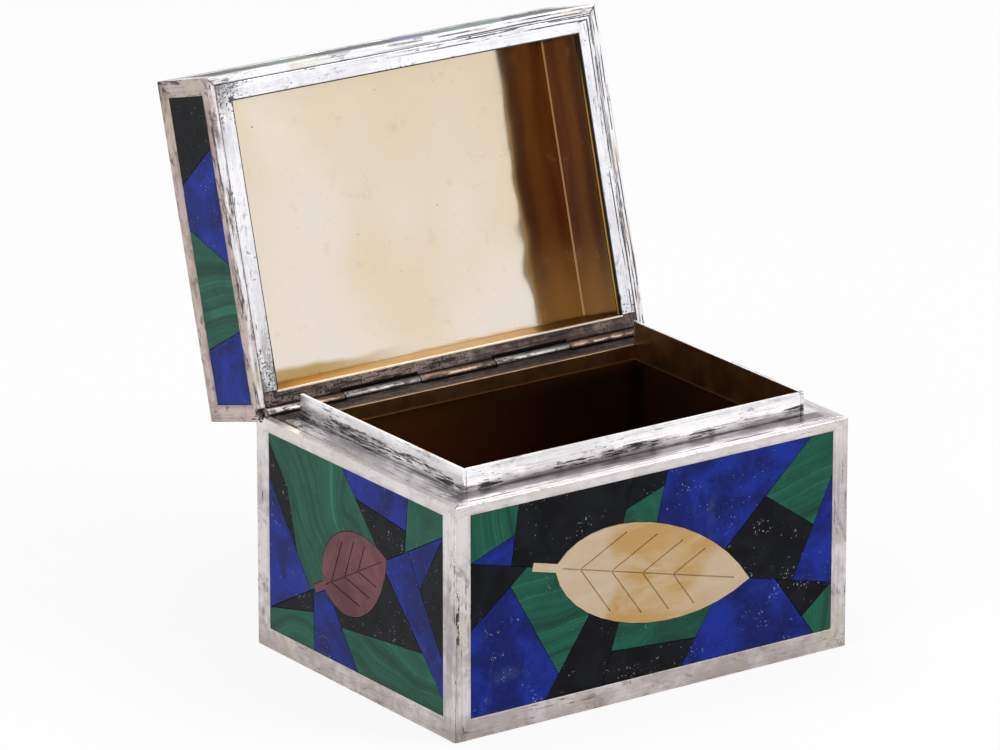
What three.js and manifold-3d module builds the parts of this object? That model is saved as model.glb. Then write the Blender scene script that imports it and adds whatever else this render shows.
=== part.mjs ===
// Silver presentation box with stone mosaic panels and a lid on a five-knuckle hinge.
// Units are millimetres, +Z is up and the front faces -Y. The origin is the centre of the base.
// The lid is drawn open, leaning on its stop.
import * as THREE from "three";
import { mergeVertices } from "three/addons/utils/BufferGeometryUtils.js";
import Module from "manifold-3d";

// Overall sizes
const WIDTH = 130;
const DEPTH = 94.5;
const BODY_HEIGHT = 66; // base to the ledge that the lid closes on
const LID_HEIGHT = 25.4; // mouth of the lid to its top
const OPEN_ANGLE = 105.5; // degrees from closed to the stop

// Sheet, plate and joints
const FRAME_THICKNESS = 2.4; // silver frame round each mosaic panel
const SHEET = 0.8; // shells and liners
const BASE_THICKNESS = 1.2;
const SEAM = 0.1; // soldered joint between two pieces
const SEAT_GAP = 0.15; // between the ledge and the closed lid

// Ledge, collar and lid mouth
const LID_RIM_WIDTH = 7.4; // outside of the lid to its opening
const LID_TOP_HOLLOW = 2.8; // between the sheets of the lid's double top
const COLLAR_CLEARANCE = 1.2; // lid's opening to the collar when closed
const COLLAR_THICKNESS = 1;
const COLLAR_RISE = 6.6; // above the ledge
const COLLAR_DROP = 4.6; // below the ledge, inside the liner

// Hinge
const HINGE_INSET = 1.7; // back face to the axis
const KNUCKLE_RADIUS = 1.6;
const KNUCKLE_COUNT = 5;
const KNUCKLE_END_INSET = 2; // side of the box to the first knuckle
const KNUCKLE_GAP = 0.2;
const CHANNEL_CLEARANCE = 0.25; // knuckle to the channel it lies in
const CHANNEL_FLOOR = 0.15; // metal left under the channel
const PIN_RADIUS = 0.65;
const PIN_CLEARANCE = 0.1;
const BEARER_WEB = 2.4; // depth of a hinge bearer below its rim
const STOP_CLEARANCE = 1; // degrees left between the two bevels at the stop

// Widths of the frames' rails and stiles
const BODY_BOTTOM_RAIL = 6;
const BODY_FRONT_TOP_RAIL = 3;
const BODY_BACK_TOP_RAIL = 6;
const BODY_END_TOP_RAIL = 3.5;
const BODY_FRONT_STILE = 5.1;
const BODY_END_STILE = 5.8;
const LID_TOP_RAIL = 4.6;
const LID_MOUTH_RAIL = 3.2;
const LID_BACK_MOUTH_RAIL = 5.5;
const LID_STILE = 4.7;
const LID_TOP_BORDER = 6;

// Stones
const STONE_RECESS = 0.15; // stones below the face of their frame
const TILE_JOINT = 0.16;
const CEMENT_BED = 0.5; // bed that joins the stones of one slab
const BITE = 0.1; // overlap of two shapes that are one piece

// Inlaid leaves: the long one on the front and back, the short one on the ends, and the lid's
const LONG_LEAF_LENGTH = 66;
const LONG_LEAF_WIDTH = 29;
const LONG_LEAF_STALK_LENGTH = 8;
const LONG_LEAF_TILT = -14; // degrees from level
const END_LEAF_LENGTH = 34;
const END_LEAF_WIDTH = 24;
const END_LEAF_STALK_LENGTH = 5;
const END_LEAF_TILT = 28;
const LID_LEAF_LENGTH = 72;
const LID_LEAF_WIDTH = 34;
const LID_LEAF_STALK_LENGTH = 9;
const LID_LEAF_TILT = 24;
const LEAF_STALK_WIDTH = 2.4;
const LONG_VEIN_PAIRS = 4;
const END_VEIN_PAIRS = 3;
const VEIN_WIDTH = 0.38;
const VEIN_DEPTH = 0.4;
const VEIN_SLOPE = 0.85; // lean of the side veins
const VEIN_REACH = 0.8; // of the way from the midrib to the leaf's edge

// Mosaic layout: one cut runs along the leaf, and the others from it to the border of the panel
const CUT_JITTER = 0.36; // how far a cut strays from even spacing
const JITTER_STEP = 2.4; // radians between the strays of two cuts at the border
const FOOT_STEP = 3.9; // the same for their feet on the leaf's line
const CROSS_CUT_SLANT = 0.2; // how far it leaves the middle of its two cuts, as a share of them
const STRIP_JITTER = 0.2; // stray of the cuts of a strip
const STRIP_SLANT = 0.25; // lean of a strip's cuts to either side, as a share of their spacing
const STONE_ORDER = [
  ...["lapis", "onyx", "malachite", "lapis", "malachite", "onyx"],
  ...["onyx", "lapis", "malachite", "onyx", "malachite", "lapis"],
  ...["onyx", "malachite", "onyx", "lapis", "onyx", "malachite"],
];

const ROUND_STEPS = 12; // half of the sides of a round piece
const LEAF_STEPS = 14;
const WELD = 1e-4;
const REPEAT = 0.01; // points nearer than this are one

// Sizes that follow from those above
const CHANNEL_RADIUS = KNUCKLE_RADIUS + CHANNEL_CLEARANCE;
const RIM_THICKNESS = CHANNEL_RADIUS + CHANNEL_FLOOR; // ledge of the body and rim of the lid
const LEDGE_WIDTH = LID_RIM_WIDTH + COLLAR_CLEARANCE; // outside of the body to the collar
const SHELL_INSET = FRAME_THICKNESS + SEAM;
const LINER_INSET = LEDGE_WIDTH - SEAM - SHEET;
const LID_LINER_INSET = LID_RIM_WIDTH - SHEET;
const AXIS_Y = DEPTH / 2 - HINGE_INSET;
const STONE_THICKNESS = FRAME_THICKNESS - STONE_RECESS;
const BEVEL_ANGLE = THREE.MathUtils.degToRad((OPEN_ANGLE + STOP_CLEARANCE) / 2);

const silver = { color: 0xc9c3bf, roughness: 0.3, metalness: 1 };
const gilt = { color: 0xd8b878, roughness: 0.15, metalness: 1 };
const stones = {
  onyx: { color: 0x1c1d20, roughness: 0.25, metalness: 0 },
  lapis: { color: 0x1f2c8c, roughness: 0.3, metalness: 0 },
  malachite: { color: 0x1c6b4d, roughness: 0.3, metalness: 0 },
  agate: { color: 0xd0ad80, roughness: 0.25, metalness: 0 },
  jasper: { color: 0x6d3040, roughness: 0.3, metalness: 0 },
  mosaic: { color: 0x20345c, roughness: 0.3, metalness: 0 },
};

const wasm = await Module();
wasm.setup();

function solidOf(geometry) {
  const bare = geometry.clone();
  bare.deleteAttribute("normal");
  bare.deleteAttribute("uv");
  const merged = mergeVertices(bare, WELD);
  const vertProperties = merged.attributes.position.array;
  const triVerts = new Uint32Array(merged.index.array);
  return new wasm.Manifold(new wasm.Mesh({ numProp: 3, vertProperties, triVerts }));
}

function geometryOf(solid) {
  const { vertProperties, triVerts } = solid.getMesh();
  const geometry = new THREE.BufferGeometry();
  geometry.setAttribute("position", new THREE.BufferAttribute(vertProperties, 3));
  geometry.setIndex(new THREE.BufferAttribute(triVerts, 1));
  geometry.computeVertexNormals();
  return geometry;
}

function cut(geometry, ...tools) {
  return geometryOf(tools.reduce((solid, tool) => solid.subtract(solidOf(tool)), solidOf(geometry)));
}

function join(geometries) {
  return geometryOf(geometries.map(solidOf).reduce((whole, solid) => whole.add(solid)));
}

function addMesh(parent, name, geometry, finish) {
  const mesh = new THREE.Mesh(geometry, new THREE.MeshStandardMaterial(finish));
  mesh.name = name;
  parent.add(mesh);
  return mesh;
}

// A block between two opposite corners.
function block(low, high) {
  const size = high.map((value, i) => value - low[i]);
  const middle = high.map((value, i) => (value + low[i]) / 2);
  return new THREE.BoxGeometry(...size).translate(...middle);
}

function extrude(points, depth) {
  const shape = points instanceof THREE.Shape ? points : new THREE.Shape(points);
  return new THREE.ExtrudeGeometry(shape, { depth, bevelEnabled: false, curveSegments: ROUND_STEPS });
}

function corner(x, y) {
  return new THREE.Vector2(x, y);
}

// A block that fills the box's plan up to an inset, between two heights.
function inPlan(inset, low, high) {
  const x = WIDTH / 2 - inset;
  const y = DEPTH / 2 - inset;
  return block([-x, -y, low], [x, y, high]);
}

// A U-shaped plate round three sides of the box, open at the back, where the hinge bearer lies.
function rimPlate(innerInset) {
  const outX = WIDTH / 2 - SHELL_INSET;
  const outY = -DEPTH / 2 + SHELL_INSET;
  const inX = WIDTH / 2 - innerInset;
  const inY = -DEPTH / 2 + innerInset;
  const back = DEPTH / 2 - innerInset - SEAM;
  const outline = [
    corner(-outX, back),
    corner(-outX, outY),
    corner(outX, outY),
    corner(outX, back),
    corner(inX, back),
    corner(inX, inY),
    corner(-inX, inY),
    corner(-inX, back),
  ];
  return extrude(outline, RIM_THICKNESS);
}

// A hinge bearer along X. Its rim covers the edges of the shell and the liner, its web stands
// between them, and the knuckles lie in the round channel at its back. The profiles run forward
// from the axis and away from the parting plane. Side is -1 for the body and 1 for the lid.
function addBearer(parent, name, innerInset, side) {
  const back = SHELL_INSET - HINGE_INSET;
  const front = innerInset - HINGE_INSET;
  const face = SEAT_GAP / 2;
  const under = face + RIM_THICKNESS;
  const channelStart = Math.acos(back / CHANNEL_RADIUS);
  const channelEnd = Math.asin(face / CHANNEL_RADIUS);
  const rim = new THREE.Shape();
  rim.moveTo(front, face);
  rim.lineTo(front, under);
  rim.lineTo(back, under);
  rim.absarc(0, 0, CHANNEL_RADIUS, channelStart, channelEnd, true);
  const webInset = SHELL_INSET + SHEET + SEAM;
  const webFront = front - SHEET - SEAM;
  const rimEnd = WIDTH / 2 - SHELL_INSET;
  const webEnd = WIDTH / 2 - webInset;
  const bearer = join([
    extrude(rim, 2 * rimEnd).translate(0, 0, -rimEnd),
    block([webInset - HINGE_INSET, under - BITE, -webEnd], [webFront, under + BEARER_WEB, webEnd]),
  ]);
  const forward = new THREE.Vector3(0, -1, 0);
  const away = new THREE.Vector3(0, 0, side);
  const along = forward.clone().cross(away);
  const mesh = addMesh(parent, name, bearer, silver);
  mesh.quaternion.setFromRotationMatrix(new THREE.Matrix4().makeBasis(forward, away, along));
}

// What the hinge needs clear, in its axis' frame: the knuckles' channel and the bevel that lets
// the lid swing back. Side is -1 for the body and 1 for the lid.
function hingeClearance(side) {
  const reach = 2 * KNUCKLE_RADIUS + HINGE_INSET;
  const bevel = [
    corner(0, 0),
    corner(reach, side * reach * Math.tan(BEVEL_ANGLE)),
    corner(reach, -side * reach),
    corner(0, -side * reach),
  ];
  const channel = new THREE.Shape();
  channel.absarc(0, 0, CHANNEL_RADIUS, 0, 2 * Math.PI);
  const length = WIDTH + 2 * SHEET;
  const along = new THREE.Matrix4().makeBasis(
    new THREE.Vector3(0, 1, 0),
    new THREE.Vector3(0, 0, 1),
    new THREE.Vector3(1, 0, 0),
  );
  return [bevel, channel].map((outline) => {
    return extrude(outline, length).translate(0, 0, -length / 2).applyMatrix4(along);
  });
}

// A plate centred on the face's plane whose mitred edges slope in towards its back.
function mitredPlate(width, height, mitres) {
  const slope = (edge) => (mitres.includes(edge) ? FRAME_THICKNESS : 0);
  const gap = (edge) => (mitres.includes(edge) ? SEAM / 2 : 0);
  const plate = new THREE.BoxGeometry(width, height, FRAME_THICKNESS).translate(0, 0, -FRAME_THICKNESS / 2);
  const places = plate.attributes.position;
  for (let i = 0; i < places.count; i++) {
    const sideEdge = places.getX(i) > 0 ? "right" : "left";
    const flatEdge = places.getY(i) > 0 ? "top" : "bottom";
    const deep = places.getZ(i) < -FRAME_THICKNESS / 2 ? 1 : 0;
    const inX = gap(sideEdge) + deep * slope(sideEdge);
    const inY = gap(flatEdge) + deep * slope(flatEdge);
    places.setX(i, Math.sign(places.getX(i)) * (width / 2 - inX));
    places.setY(i, Math.sign(places.getY(i)) * (height / 2 - inY));
  }
  return plate;
}

// The point a share of the way round a rectangle, anticlockwise from the middle of its right side.
function borderPoint(share, width, height) {
  const run = (share - Math.floor(share)) * 2 * (width + height);
  const legs = [height / 2, width, height, width, height / 2];
  const starts = [corner(1, 0), corner(1, 1), corner(-1, 1), corner(-1, -1), corner(1, -1)];
  const headings = [corner(0, 1), corner(-1, 0), corner(0, -1), corner(1, 0), corner(0, 1)];
  const half = corner(width / 2, height / 2);
  let left = run;
  let leg = 0;
  while (leg < legs.length - 1 && left > legs[leg]) {
    left -= legs[leg];
    leg += 1;
  }
  return starts[leg].clone().multiply(half).addScaledVector(headings[leg], left);
}

// The rectangle's own corners that lie between two shares of the way round it.
function cornersBetween(from, to, width, height) {
  const quarter = [height / 2, height / 2 + width, 1.5 * height + width, 1.5 * height + 2 * width];
  const whole = 2 * (width + height);
  const shares = quarter.flatMap((run) => [run / whole, run / whole + 1]).sort((a, b) => a - b);
  const inside = shares.filter((share) => share > from && share < to);
  return inside.map((share) => borderPoint(share, width, height));
}

// The point where a line first meets the leaf's edge.
function leafEdge(from, to, outline) {
  const run = to.clone().sub(from);
  const crossings = outline.map((start, i) => {
    const side = outline[(i + 1) % outline.length].clone().sub(start);
    const gap = start.clone().sub(from);
    const alongSide = gap.cross(run) / run.cross(side);
    return alongSide >= 0 && alongSide <= 1 ? gap.cross(side) / run.cross(side) : 1;
  });
  const first = Math.min(1, ...crossings.filter((share) => share > 0));
  return from.clone().addScaledVector(run, first);
}

// Outlines of shards round a leaf. Half of the cuts lie on each side of the leaf's line, which
// runs through the panel, and every other shard is cut across.
function shardsRoundLeaf(width, height, { cuts, phase, leaf }) {
  const edge = leafOutline(leaf, TILE_JOINT);
  const rise = (width / 2) * Math.tan(THREE.MathUtils.degToRad(leaf.tilt));
  const lineStart = rise / (2 * (width + height));
  const half = cuts / 2;
  const shares = [];
  const inner = [];
  for (let k = 0; k <= cuts; k++) {
    const onLine = k % half === 0;
    const stray = onLine ? 0 : CUT_JITTER * Math.sin(JITTER_STEP * k + phase);
    const footStray = onLine ? 0 : CUT_JITTER * Math.sin(FOOT_STEP * k + 2 * phase);
    const foot = Math.abs((k + footStray) / half - 1);
    shares.push(lineStart + (k + stray) / cuts);
    inner.push(corner(width / 2, rise).multiplyScalar(2 * foot - 1));
  }
  const outer = shares.map((share) => borderPoint(share, width, height));
  const shards = [];
  for (let k = 0; k < cuts; k++) {
    const border = [outer[k], ...cornersBetween(shares[k], shares[k + 1], width, height), outer[k + 1]];
    if (k % 2 === 0) {
      shards.push([inner[k], ...border, inner[k + 1]]);
      continue;
    }
    const slant = CROSS_CUT_SLANT * Math.sin(JITTER_STEP * k + phase);
    const [near, far] = [0.5 - slant, 0.5 + slant].map((share, side) => {
      const start = outer[k + side];
      return start.clone().lerp(leafEdge(start, inner[k + side], edge), share);
    });
    shards.push([inner[k], near, far, inner[k + 1]]);
    shards.push([near, ...border, far]);
  }
  return shards;
}

// Outlines of the shards of a long strip, between slanted cuts.
function shardsOfStrip(width, height, { cuts, phase }) {
  const ends = Array.from({ length: cuts + 1 }, (_, k) => {
    const inside = k > 0 && k < cuts;
    const stray = inside ? STRIP_JITTER * Math.sin(JITTER_STEP * k + phase) : 0;
    const slant = inside ? STRIP_SLANT * Math.sin(JITTER_STEP * k + 2 * phase) : 0;
    const x = [k + stray - slant, k + stray + slant].map((place) => (width * place) / cuts - width / 2);
    return [corner(x[0], -height / 2), corner(x[1], height / 2)];
  });
  return ends.slice(1).map((end, k) => [ends[k][0], end[0], end[1], ends[k][1]]);
}

function withoutRepeats(outline) {
  return outline.filter((point, i) => point.distanceTo(outline[(i + 1) % outline.length]) > REPEAT);
}

// A convex outline, anticlockwise, with every side moved in.
function insetOutline(outline, distance) {
  const corners = withoutRepeats(outline);
  const inset = corners.reduce((kept, start, i) => {
    const run = corners[(i + 1) % corners.length].clone().sub(start);
    const inward = corner(-run.y, run.x).normalize();
    const depths = kept.map((point) => point.clone().sub(start).dot(inward) - distance);
    return kept.flatMap((point, j) => {
      const next = (j + 1) % kept.length;
      const share = depths[j] / (depths[j] - depths[next]);
      const crossing = depths[j] * depths[next] < 0 ? [point.clone().lerp(kept[next], share)] : [];
      return depths[j] >= 0 ? [point, ...crossing] : crossing;
    });
  }, corners);
  return withoutRepeats(inset);
}

// A leaf along X with its stalk, grown all round by a clearance.
function leafOutline({ length, width, stalk, tilt }, clearance) {
  const tip = length / 2 + clearance;
  const side = width / 2 + clearance;
  const base = -length / 2;
  const halfStalk = LEAF_STALK_WIDTH / 2 + clearance;
  const stalkEnd = base - stalk - clearance;
  const shape = new THREE.Shape();
  shape.moveTo(stalkEnd, -halfStalk);
  shape.lineTo(base, -halfStalk);
  shape.bezierCurveTo(base + length / 8, -1.25 * side, length / 5, -1.3 * side, tip, 0);
  shape.bezierCurveTo(length / 5, 1.3 * side, base + length / 8, 1.25 * side, base, halfStalk);
  shape.lineTo(stalkEnd, halfStalk);
  const turn = THREE.MathUtils.degToRad(tilt);
  return shape.getPoints(LEAF_STEPS).map((point) => point.rotateAround(corner(0, 0), turn));
}

// The leaf's engraved veins: a midrib and pairs of side veins that lean towards the tip.
function leafVeins(leaf) {
  const { length, tilt, veinPairs } = leaf;
  const edge = leafOutline({ ...leaf, tilt: 0 }, 0);
  const line = (from, to) => {
    const run = to.clone().sub(from);
    const groove = new THREE.BoxGeometry(run.length(), VEIN_WIDTH, 2 * VEIN_DEPTH);
    const middle = from.clone().add(to).multiplyScalar(0.5);
    return groove.rotateZ(run.angle()).translate(middle.x, middle.y, STONE_THICKNESS);
  };
  const veins = [line(corner(-0.47 * length, 0), corner(0.42 * length, 0))];
  for (let pair = 0; pair < veinPairs; pair++) {
    const foot = corner(length * (-0.38 + (0.64 * pair) / veinPairs), 0);
    for (const side of [-1, 1]) {
      const beyond = corner(length, side * VEIN_SLOPE * length).add(foot);
      veins.push(line(foot, foot.clone().lerp(leafEdge(foot, beyond, edge), VEIN_REACH)));
    }
  }
  return veins.map((vein) => vein.rotateZ(THREE.MathUtils.degToRad(tilt)));
}

// The stones of one panel, in a group whose origin is the middle of the window's floor.
// A separate mosaic has a mesh for each stone, and any other is one slab on a cement bed.
function addMosaic(parent, name, width, height, mosaic) {
  const shards = mosaic.leaf ? shardsRoundLeaf(width, height, mosaic) : shardsOfStrip(width, height, mosaic);
  const leafEdges = mosaic.leaf ? [leafOutline(mosaic.leaf, TILE_JOINT)] : [];
  const pocket = leafEdges.map((edge) => extrude(edge, STONE_THICKNESS + 2 * SEAM).translate(0, 0, -SEAM));
  const outlines = shards.map((outline) => insetOutline(outline, TILE_JOINT / 2));
  if (mosaic.separate) {
    outlines.forEach((outline, i) => {
      const number = String(i + 1).padStart(2, "0");
      const stone = STONE_ORDER[i % STONE_ORDER.length];
      const tile = cut(extrude(outline, STONE_THICKNESS), ...pocket);
      addMesh(parent, `${name}_${stone}_${number}`, tile, stones[stone]);
    });
  } else {
    const bedX = width / 2 - TILE_JOINT / 2;
    const bedY = height / 2 - TILE_JOINT / 2;
    const bed = block([-bedX, -bedY, 0], [bedX, bedY, CEMENT_BED]);
    const base = CEMENT_BED - BITE;
    const tiles = outlines.map((outline) => extrude(outline, STONE_THICKNESS - base).translate(0, 0, base));
    addMesh(parent, `${name}_mosaic`, cut(join([bed, ...tiles]), ...pocket), stones.mosaic);
  }
  if (mosaic.leaf) {
    const leaf = cut(extrude(leafOutline(mosaic.leaf, 0), STONE_THICKNESS), ...leafVeins(mosaic.leaf));
    addMesh(parent, `${name}_leaf`, leaf, stones[mosaic.leaf.stone]);
  }
}

// One face of the box: a silver frame with a window, and the mosaic in it.
// In the face's frame x runs to the right, y up and z out of the box, from the face's middle.
function addFace(parent, { name, width, height, place, turn, flat, rails, mitres, clearance = [], mosaic }) {
  const face = new THREE.Group();
  face.position.set(...place);
  face.rotation.set(flat ? 0 : Math.PI / 2, 0, turn, "ZXY");
  face.updateMatrix();
  parent.add(face);
  const { left, right, top, bottom } = rails;
  const low = corner(-width / 2 + left, -height / 2 + bottom);
  const high = corner(width / 2 - right, height / 2 - top);
  const window = block([low.x, low.y, -FRAME_THICKNESS - SEAM], [high.x, high.y, SEAM]);
  const toFace = face.matrix.clone().invert();
  const tools = clearance.map((tool) => tool.clone().applyMatrix4(toFace));
  addMesh(face, `${name}_frame`, cut(mitredPlate(width, height, mitres), window, ...tools), silver);
  const floor = new THREE.Group();
  floor.position.set((low.x + high.x) / 2, (low.y + high.y) / 2, -FRAME_THICKNESS);
  face.add(floor);
  addMosaic(floor, name, high.x - low.x, high.y - low.y, mosaic);
}

// The four upright faces of the body or the lid.
function addUprightFaces(parent, prefix, height, side, faces) {
  const axis = [0, AXIS_Y, side < 0 ? height + SEAT_GAP / 2 : -SEAT_GAP / 2];
  const clearance = hingeClearance(side).map((tool) => tool.translate(...axis));
  const mitres = side < 0 ? ["left", "right"] : ["left", "right", "top"];
  const plans = {
    front: { width: WIDTH, place: [0, -DEPTH / 2, height / 2], turn: 0 },
    right: { width: DEPTH, place: [WIDTH / 2, 0, height / 2], turn: Math.PI / 2, clearance },
    back: { width: WIDTH, place: [0, DEPTH / 2, height / 2], turn: Math.PI, clearance },
    left: { width: DEPTH, place: [-WIDTH / 2, 0, height / 2], turn: -Math.PI / 2, clearance },
  };
  for (const [key, plan] of Object.entries(plans)) {
    const { stile, top, bottom, mosaic } = faces[key];
    const rails = { left: stile, right: stile, top, bottom };
    addFace(parent, { name: prefix + key, height, rails, mitres, mosaic, ...plan });
  }
}

// The raised collar inside the ledge: two side strips, and the front and back between them.
function addCollar(parent) {
  const x = WIDTH / 2 - LEDGE_WIDTH;
  const y = DEPTH / 2 - LEDGE_WIDTH;
  const low = BODY_HEIGHT - COLLAR_DROP;
  const high = BODY_HEIGHT + COLLAR_RISE;
  const between = x - COLLAR_THICKNESS - SEAM;
  const strips = {
    collar_left: block([-x, -y, low], [-x + COLLAR_THICKNESS, y, high]),
    collar_right: block([x - COLLAR_THICKNESS, -y, low], [x, y, high]),
    collar_front: block([-between, -y, low], [between, -y + COLLAR_THICKNESS, high]),
    collar_back: block([-between, y - COLLAR_THICKNESS, low], [between, y, BODY_HEIGHT]),
  };
  for (const [name, strip] of Object.entries(strips)) addMesh(parent, name, strip, silver);
}

// The hinge's knuckles, taken in turn by the lid and the body, and the pin through them.
function addHinge(bodyAxis, lidAxis) {
  const span = WIDTH - 2 * KNUCKLE_END_INSET;
  const pitch = span / KNUCKLE_COUNT;
  const tube = new THREE.Shape();
  tube.absarc(0, 0, KNUCKLE_RADIUS, 0, 2 * Math.PI);
  tube.holes.push(new THREE.Path().absarc(0, 0, PIN_RADIUS + PIN_CLEARANCE, 0, 2 * Math.PI));
  const length = pitch - KNUCKLE_GAP;
  for (let k = 0; k < KNUCKLE_COUNT; k++) {
    const onLid = k % 2 === 0;
    const name = `${onLid ? "lid" : "body"}_knuckle_${Math.floor(k / 2) + 1}`;
    const mesh = addMesh(onLid ? lidAxis : bodyAxis, name, extrude(tube, length), silver);
    mesh.position.x = -span / 2 + pitch * k + KNUCKLE_GAP / 2;
    mesh.rotation.y = Math.PI / 2;
  }
  const sides = 2 * ROUND_STEPS;
  const pin = new THREE.CylinderGeometry(PIN_RADIUS, PIN_RADIUS, span - KNUCKLE_GAP, sides);
  addMesh(bodyAxis, "hinge_pin", pin, silver).rotation.z = Math.PI / 2;
}

const longLeaf = {
  length: LONG_LEAF_LENGTH,
  width: LONG_LEAF_WIDTH,
  stalk: LONG_LEAF_STALK_LENGTH,
  tilt: LONG_LEAF_TILT,
  veinPairs: LONG_VEIN_PAIRS,
  stone: "agate",
};
const endLeaf = {
  length: END_LEAF_LENGTH,
  width: END_LEAF_WIDTH,
  stalk: END_LEAF_STALK_LENGTH,
  tilt: END_LEAF_TILT,
  veinPairs: END_VEIN_PAIRS,
  stone: "jasper",
};
const lidLeaf = {
  length: LID_LEAF_LENGTH,
  width: LID_LEAF_WIDTH,
  stalk: LID_LEAF_STALK_LENGTH,
  tilt: LID_LEAF_TILT,
  veinPairs: LONG_VEIN_PAIRS,
  stone: "agate",
};

// Body
const box = new THREE.Group();
const frontBack = { stile: BODY_FRONT_STILE, bottom: BODY_BOTTOM_RAIL };
const ends = { stile: BODY_END_STILE, top: BODY_END_TOP_RAIL, bottom: BODY_BOTTOM_RAIL };
const bodyFaces = {
  front: {
    ...frontBack,
    top: BODY_FRONT_TOP_RAIL,
    mosaic: { cuts: 12, phase: 0.6, leaf: longLeaf, separate: true },
  },
  back: { ...frontBack, top: BODY_BACK_TOP_RAIL, mosaic: { cuts: 12, phase: 2.1, leaf: longLeaf } },
  left: { ...ends, mosaic: { cuts: 10, phase: 1.3, leaf: endLeaf } },
  right: { ...ends, mosaic: { cuts: 10, phase: 3.4, leaf: endLeaf } },
};
addUprightFaces(box, "", BODY_HEIGHT, -1, bodyFaces);

const wallTop = BODY_HEIGHT - RIM_THICKNESS - SEAM;
const wallFoot = BASE_THICKNESS + SEAM;
addMesh(box, "base_plate", inPlan(SHELL_INSET, 0, BASE_THICKNESS), silver);
const shellHollow = inPlan(SHELL_INSET + SHEET, wallFoot - SHEET, wallTop + SHEET);
addMesh(box, "body_shell", cut(inPlan(SHELL_INSET, wallFoot, wallTop), shellHollow), silver);
const linerHollow = inPlan(LINER_INSET + SHEET, wallFoot + SHEET, wallTop + SHEET);
addMesh(box, "body_liner", cut(inPlan(LINER_INSET, wallFoot, wallTop), linerHollow), gilt);
addMesh(box, "ledge_plate", rimPlate(LINER_INSET + SHEET), silver).position.z = BODY_HEIGHT - RIM_THICKNESS;
addCollar(box);

// Lid, in its closed place round the hinge axis and then swung open
const bodyAxis = new THREE.Group();
bodyAxis.position.set(0, AXIS_Y, BODY_HEIGHT + SEAT_GAP / 2);
box.add(bodyAxis);
const lidAxis = new THREE.Group();
lidAxis.position.copy(bodyAxis.position);
lidAxis.rotation.x = -THREE.MathUtils.degToRad(OPEN_ANGLE);
box.add(lidAxis);
const lid = new THREE.Group();
lid.position.set(0, -AXIS_Y, SEAT_GAP / 2);
lidAxis.add(lid);

const lidSide = { stile: LID_STILE, top: LID_TOP_RAIL, bottom: LID_MOUTH_RAIL };
const lidFaces = {
  front: { ...lidSide, mosaic: { cuts: 6, phase: 0.9 } },
  back: { ...lidSide, bottom: LID_BACK_MOUTH_RAIL, mosaic: { cuts: 6, phase: 2.2 } },
  left: { ...lidSide, mosaic: { cuts: 4, phase: 1.7 } },
  right: { ...lidSide, mosaic: { cuts: 4, phase: 0.3 } },
};
addUprightFaces(lid, "lid_", LID_HEIGHT, 1, lidFaces);
addFace(lid, {
  name: "lid_top",
  width: WIDTH,
  height: DEPTH,
  place: [0, 0, LID_HEIGHT],
  turn: 0,
  flat: true,
  rails: { left: LID_TOP_BORDER, right: LID_TOP_BORDER, top: LID_TOP_BORDER, bottom: LID_TOP_BORDER },
  mitres: ["left", "right", "top", "bottom"],
  mosaic: { cuts: 14, phase: 1.1, leaf: lidLeaf },
});

const lidWallFoot = RIM_THICKNESS + SEAM;
const lidShellTop = LID_HEIGHT - FRAME_THICKNESS - SEAM;
const lidShellHollow = inPlan(SHELL_INSET + SHEET, lidWallFoot - SHEET, lidShellTop - SHEET);
addMesh(lid, "lid_shell", cut(inPlan(SHELL_INSET, lidWallFoot, lidShellTop), lidShellHollow), silver);
const lidLinerTop = lidShellTop - SHEET - LID_TOP_HOLLOW;
const lidLinerHollow = inPlan(LID_RIM_WIDTH, lidWallFoot - SHEET, lidLinerTop - SHEET);
addMesh(lid, "lid_liner", cut(inPlan(LID_LINER_INSET, lidWallFoot, lidLinerTop), lidLinerHollow), gilt);
addMesh(lid, "lid_rim", rimPlate(LID_RIM_WIDTH), silver);

// Hinge
addBearer(bodyAxis, "body_hinge_bearer", LINER_INSET + SHEET, -1);
addBearer(lidAxis, "lid_hinge_bearer", LID_RIM_WIDTH, 1);
addHinge(bodyAxis, lidAxis);

export default box;
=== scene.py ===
import math

import bmesh
import bpy
from mathutils import Matrix, Vector


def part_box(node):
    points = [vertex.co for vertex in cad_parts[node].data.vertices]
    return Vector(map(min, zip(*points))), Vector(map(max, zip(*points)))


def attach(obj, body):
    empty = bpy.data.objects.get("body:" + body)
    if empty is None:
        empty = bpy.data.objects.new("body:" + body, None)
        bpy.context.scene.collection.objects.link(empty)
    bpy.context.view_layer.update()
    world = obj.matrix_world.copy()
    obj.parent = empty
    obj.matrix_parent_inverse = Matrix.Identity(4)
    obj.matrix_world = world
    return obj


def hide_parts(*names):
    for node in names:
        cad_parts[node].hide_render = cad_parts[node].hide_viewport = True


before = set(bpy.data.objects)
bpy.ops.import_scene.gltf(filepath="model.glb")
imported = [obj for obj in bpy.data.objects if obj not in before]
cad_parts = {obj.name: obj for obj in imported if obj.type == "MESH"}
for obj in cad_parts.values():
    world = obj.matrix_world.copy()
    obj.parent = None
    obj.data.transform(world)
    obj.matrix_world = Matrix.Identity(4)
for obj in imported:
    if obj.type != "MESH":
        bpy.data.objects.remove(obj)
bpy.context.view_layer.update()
scene = bpy.context.scene

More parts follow.
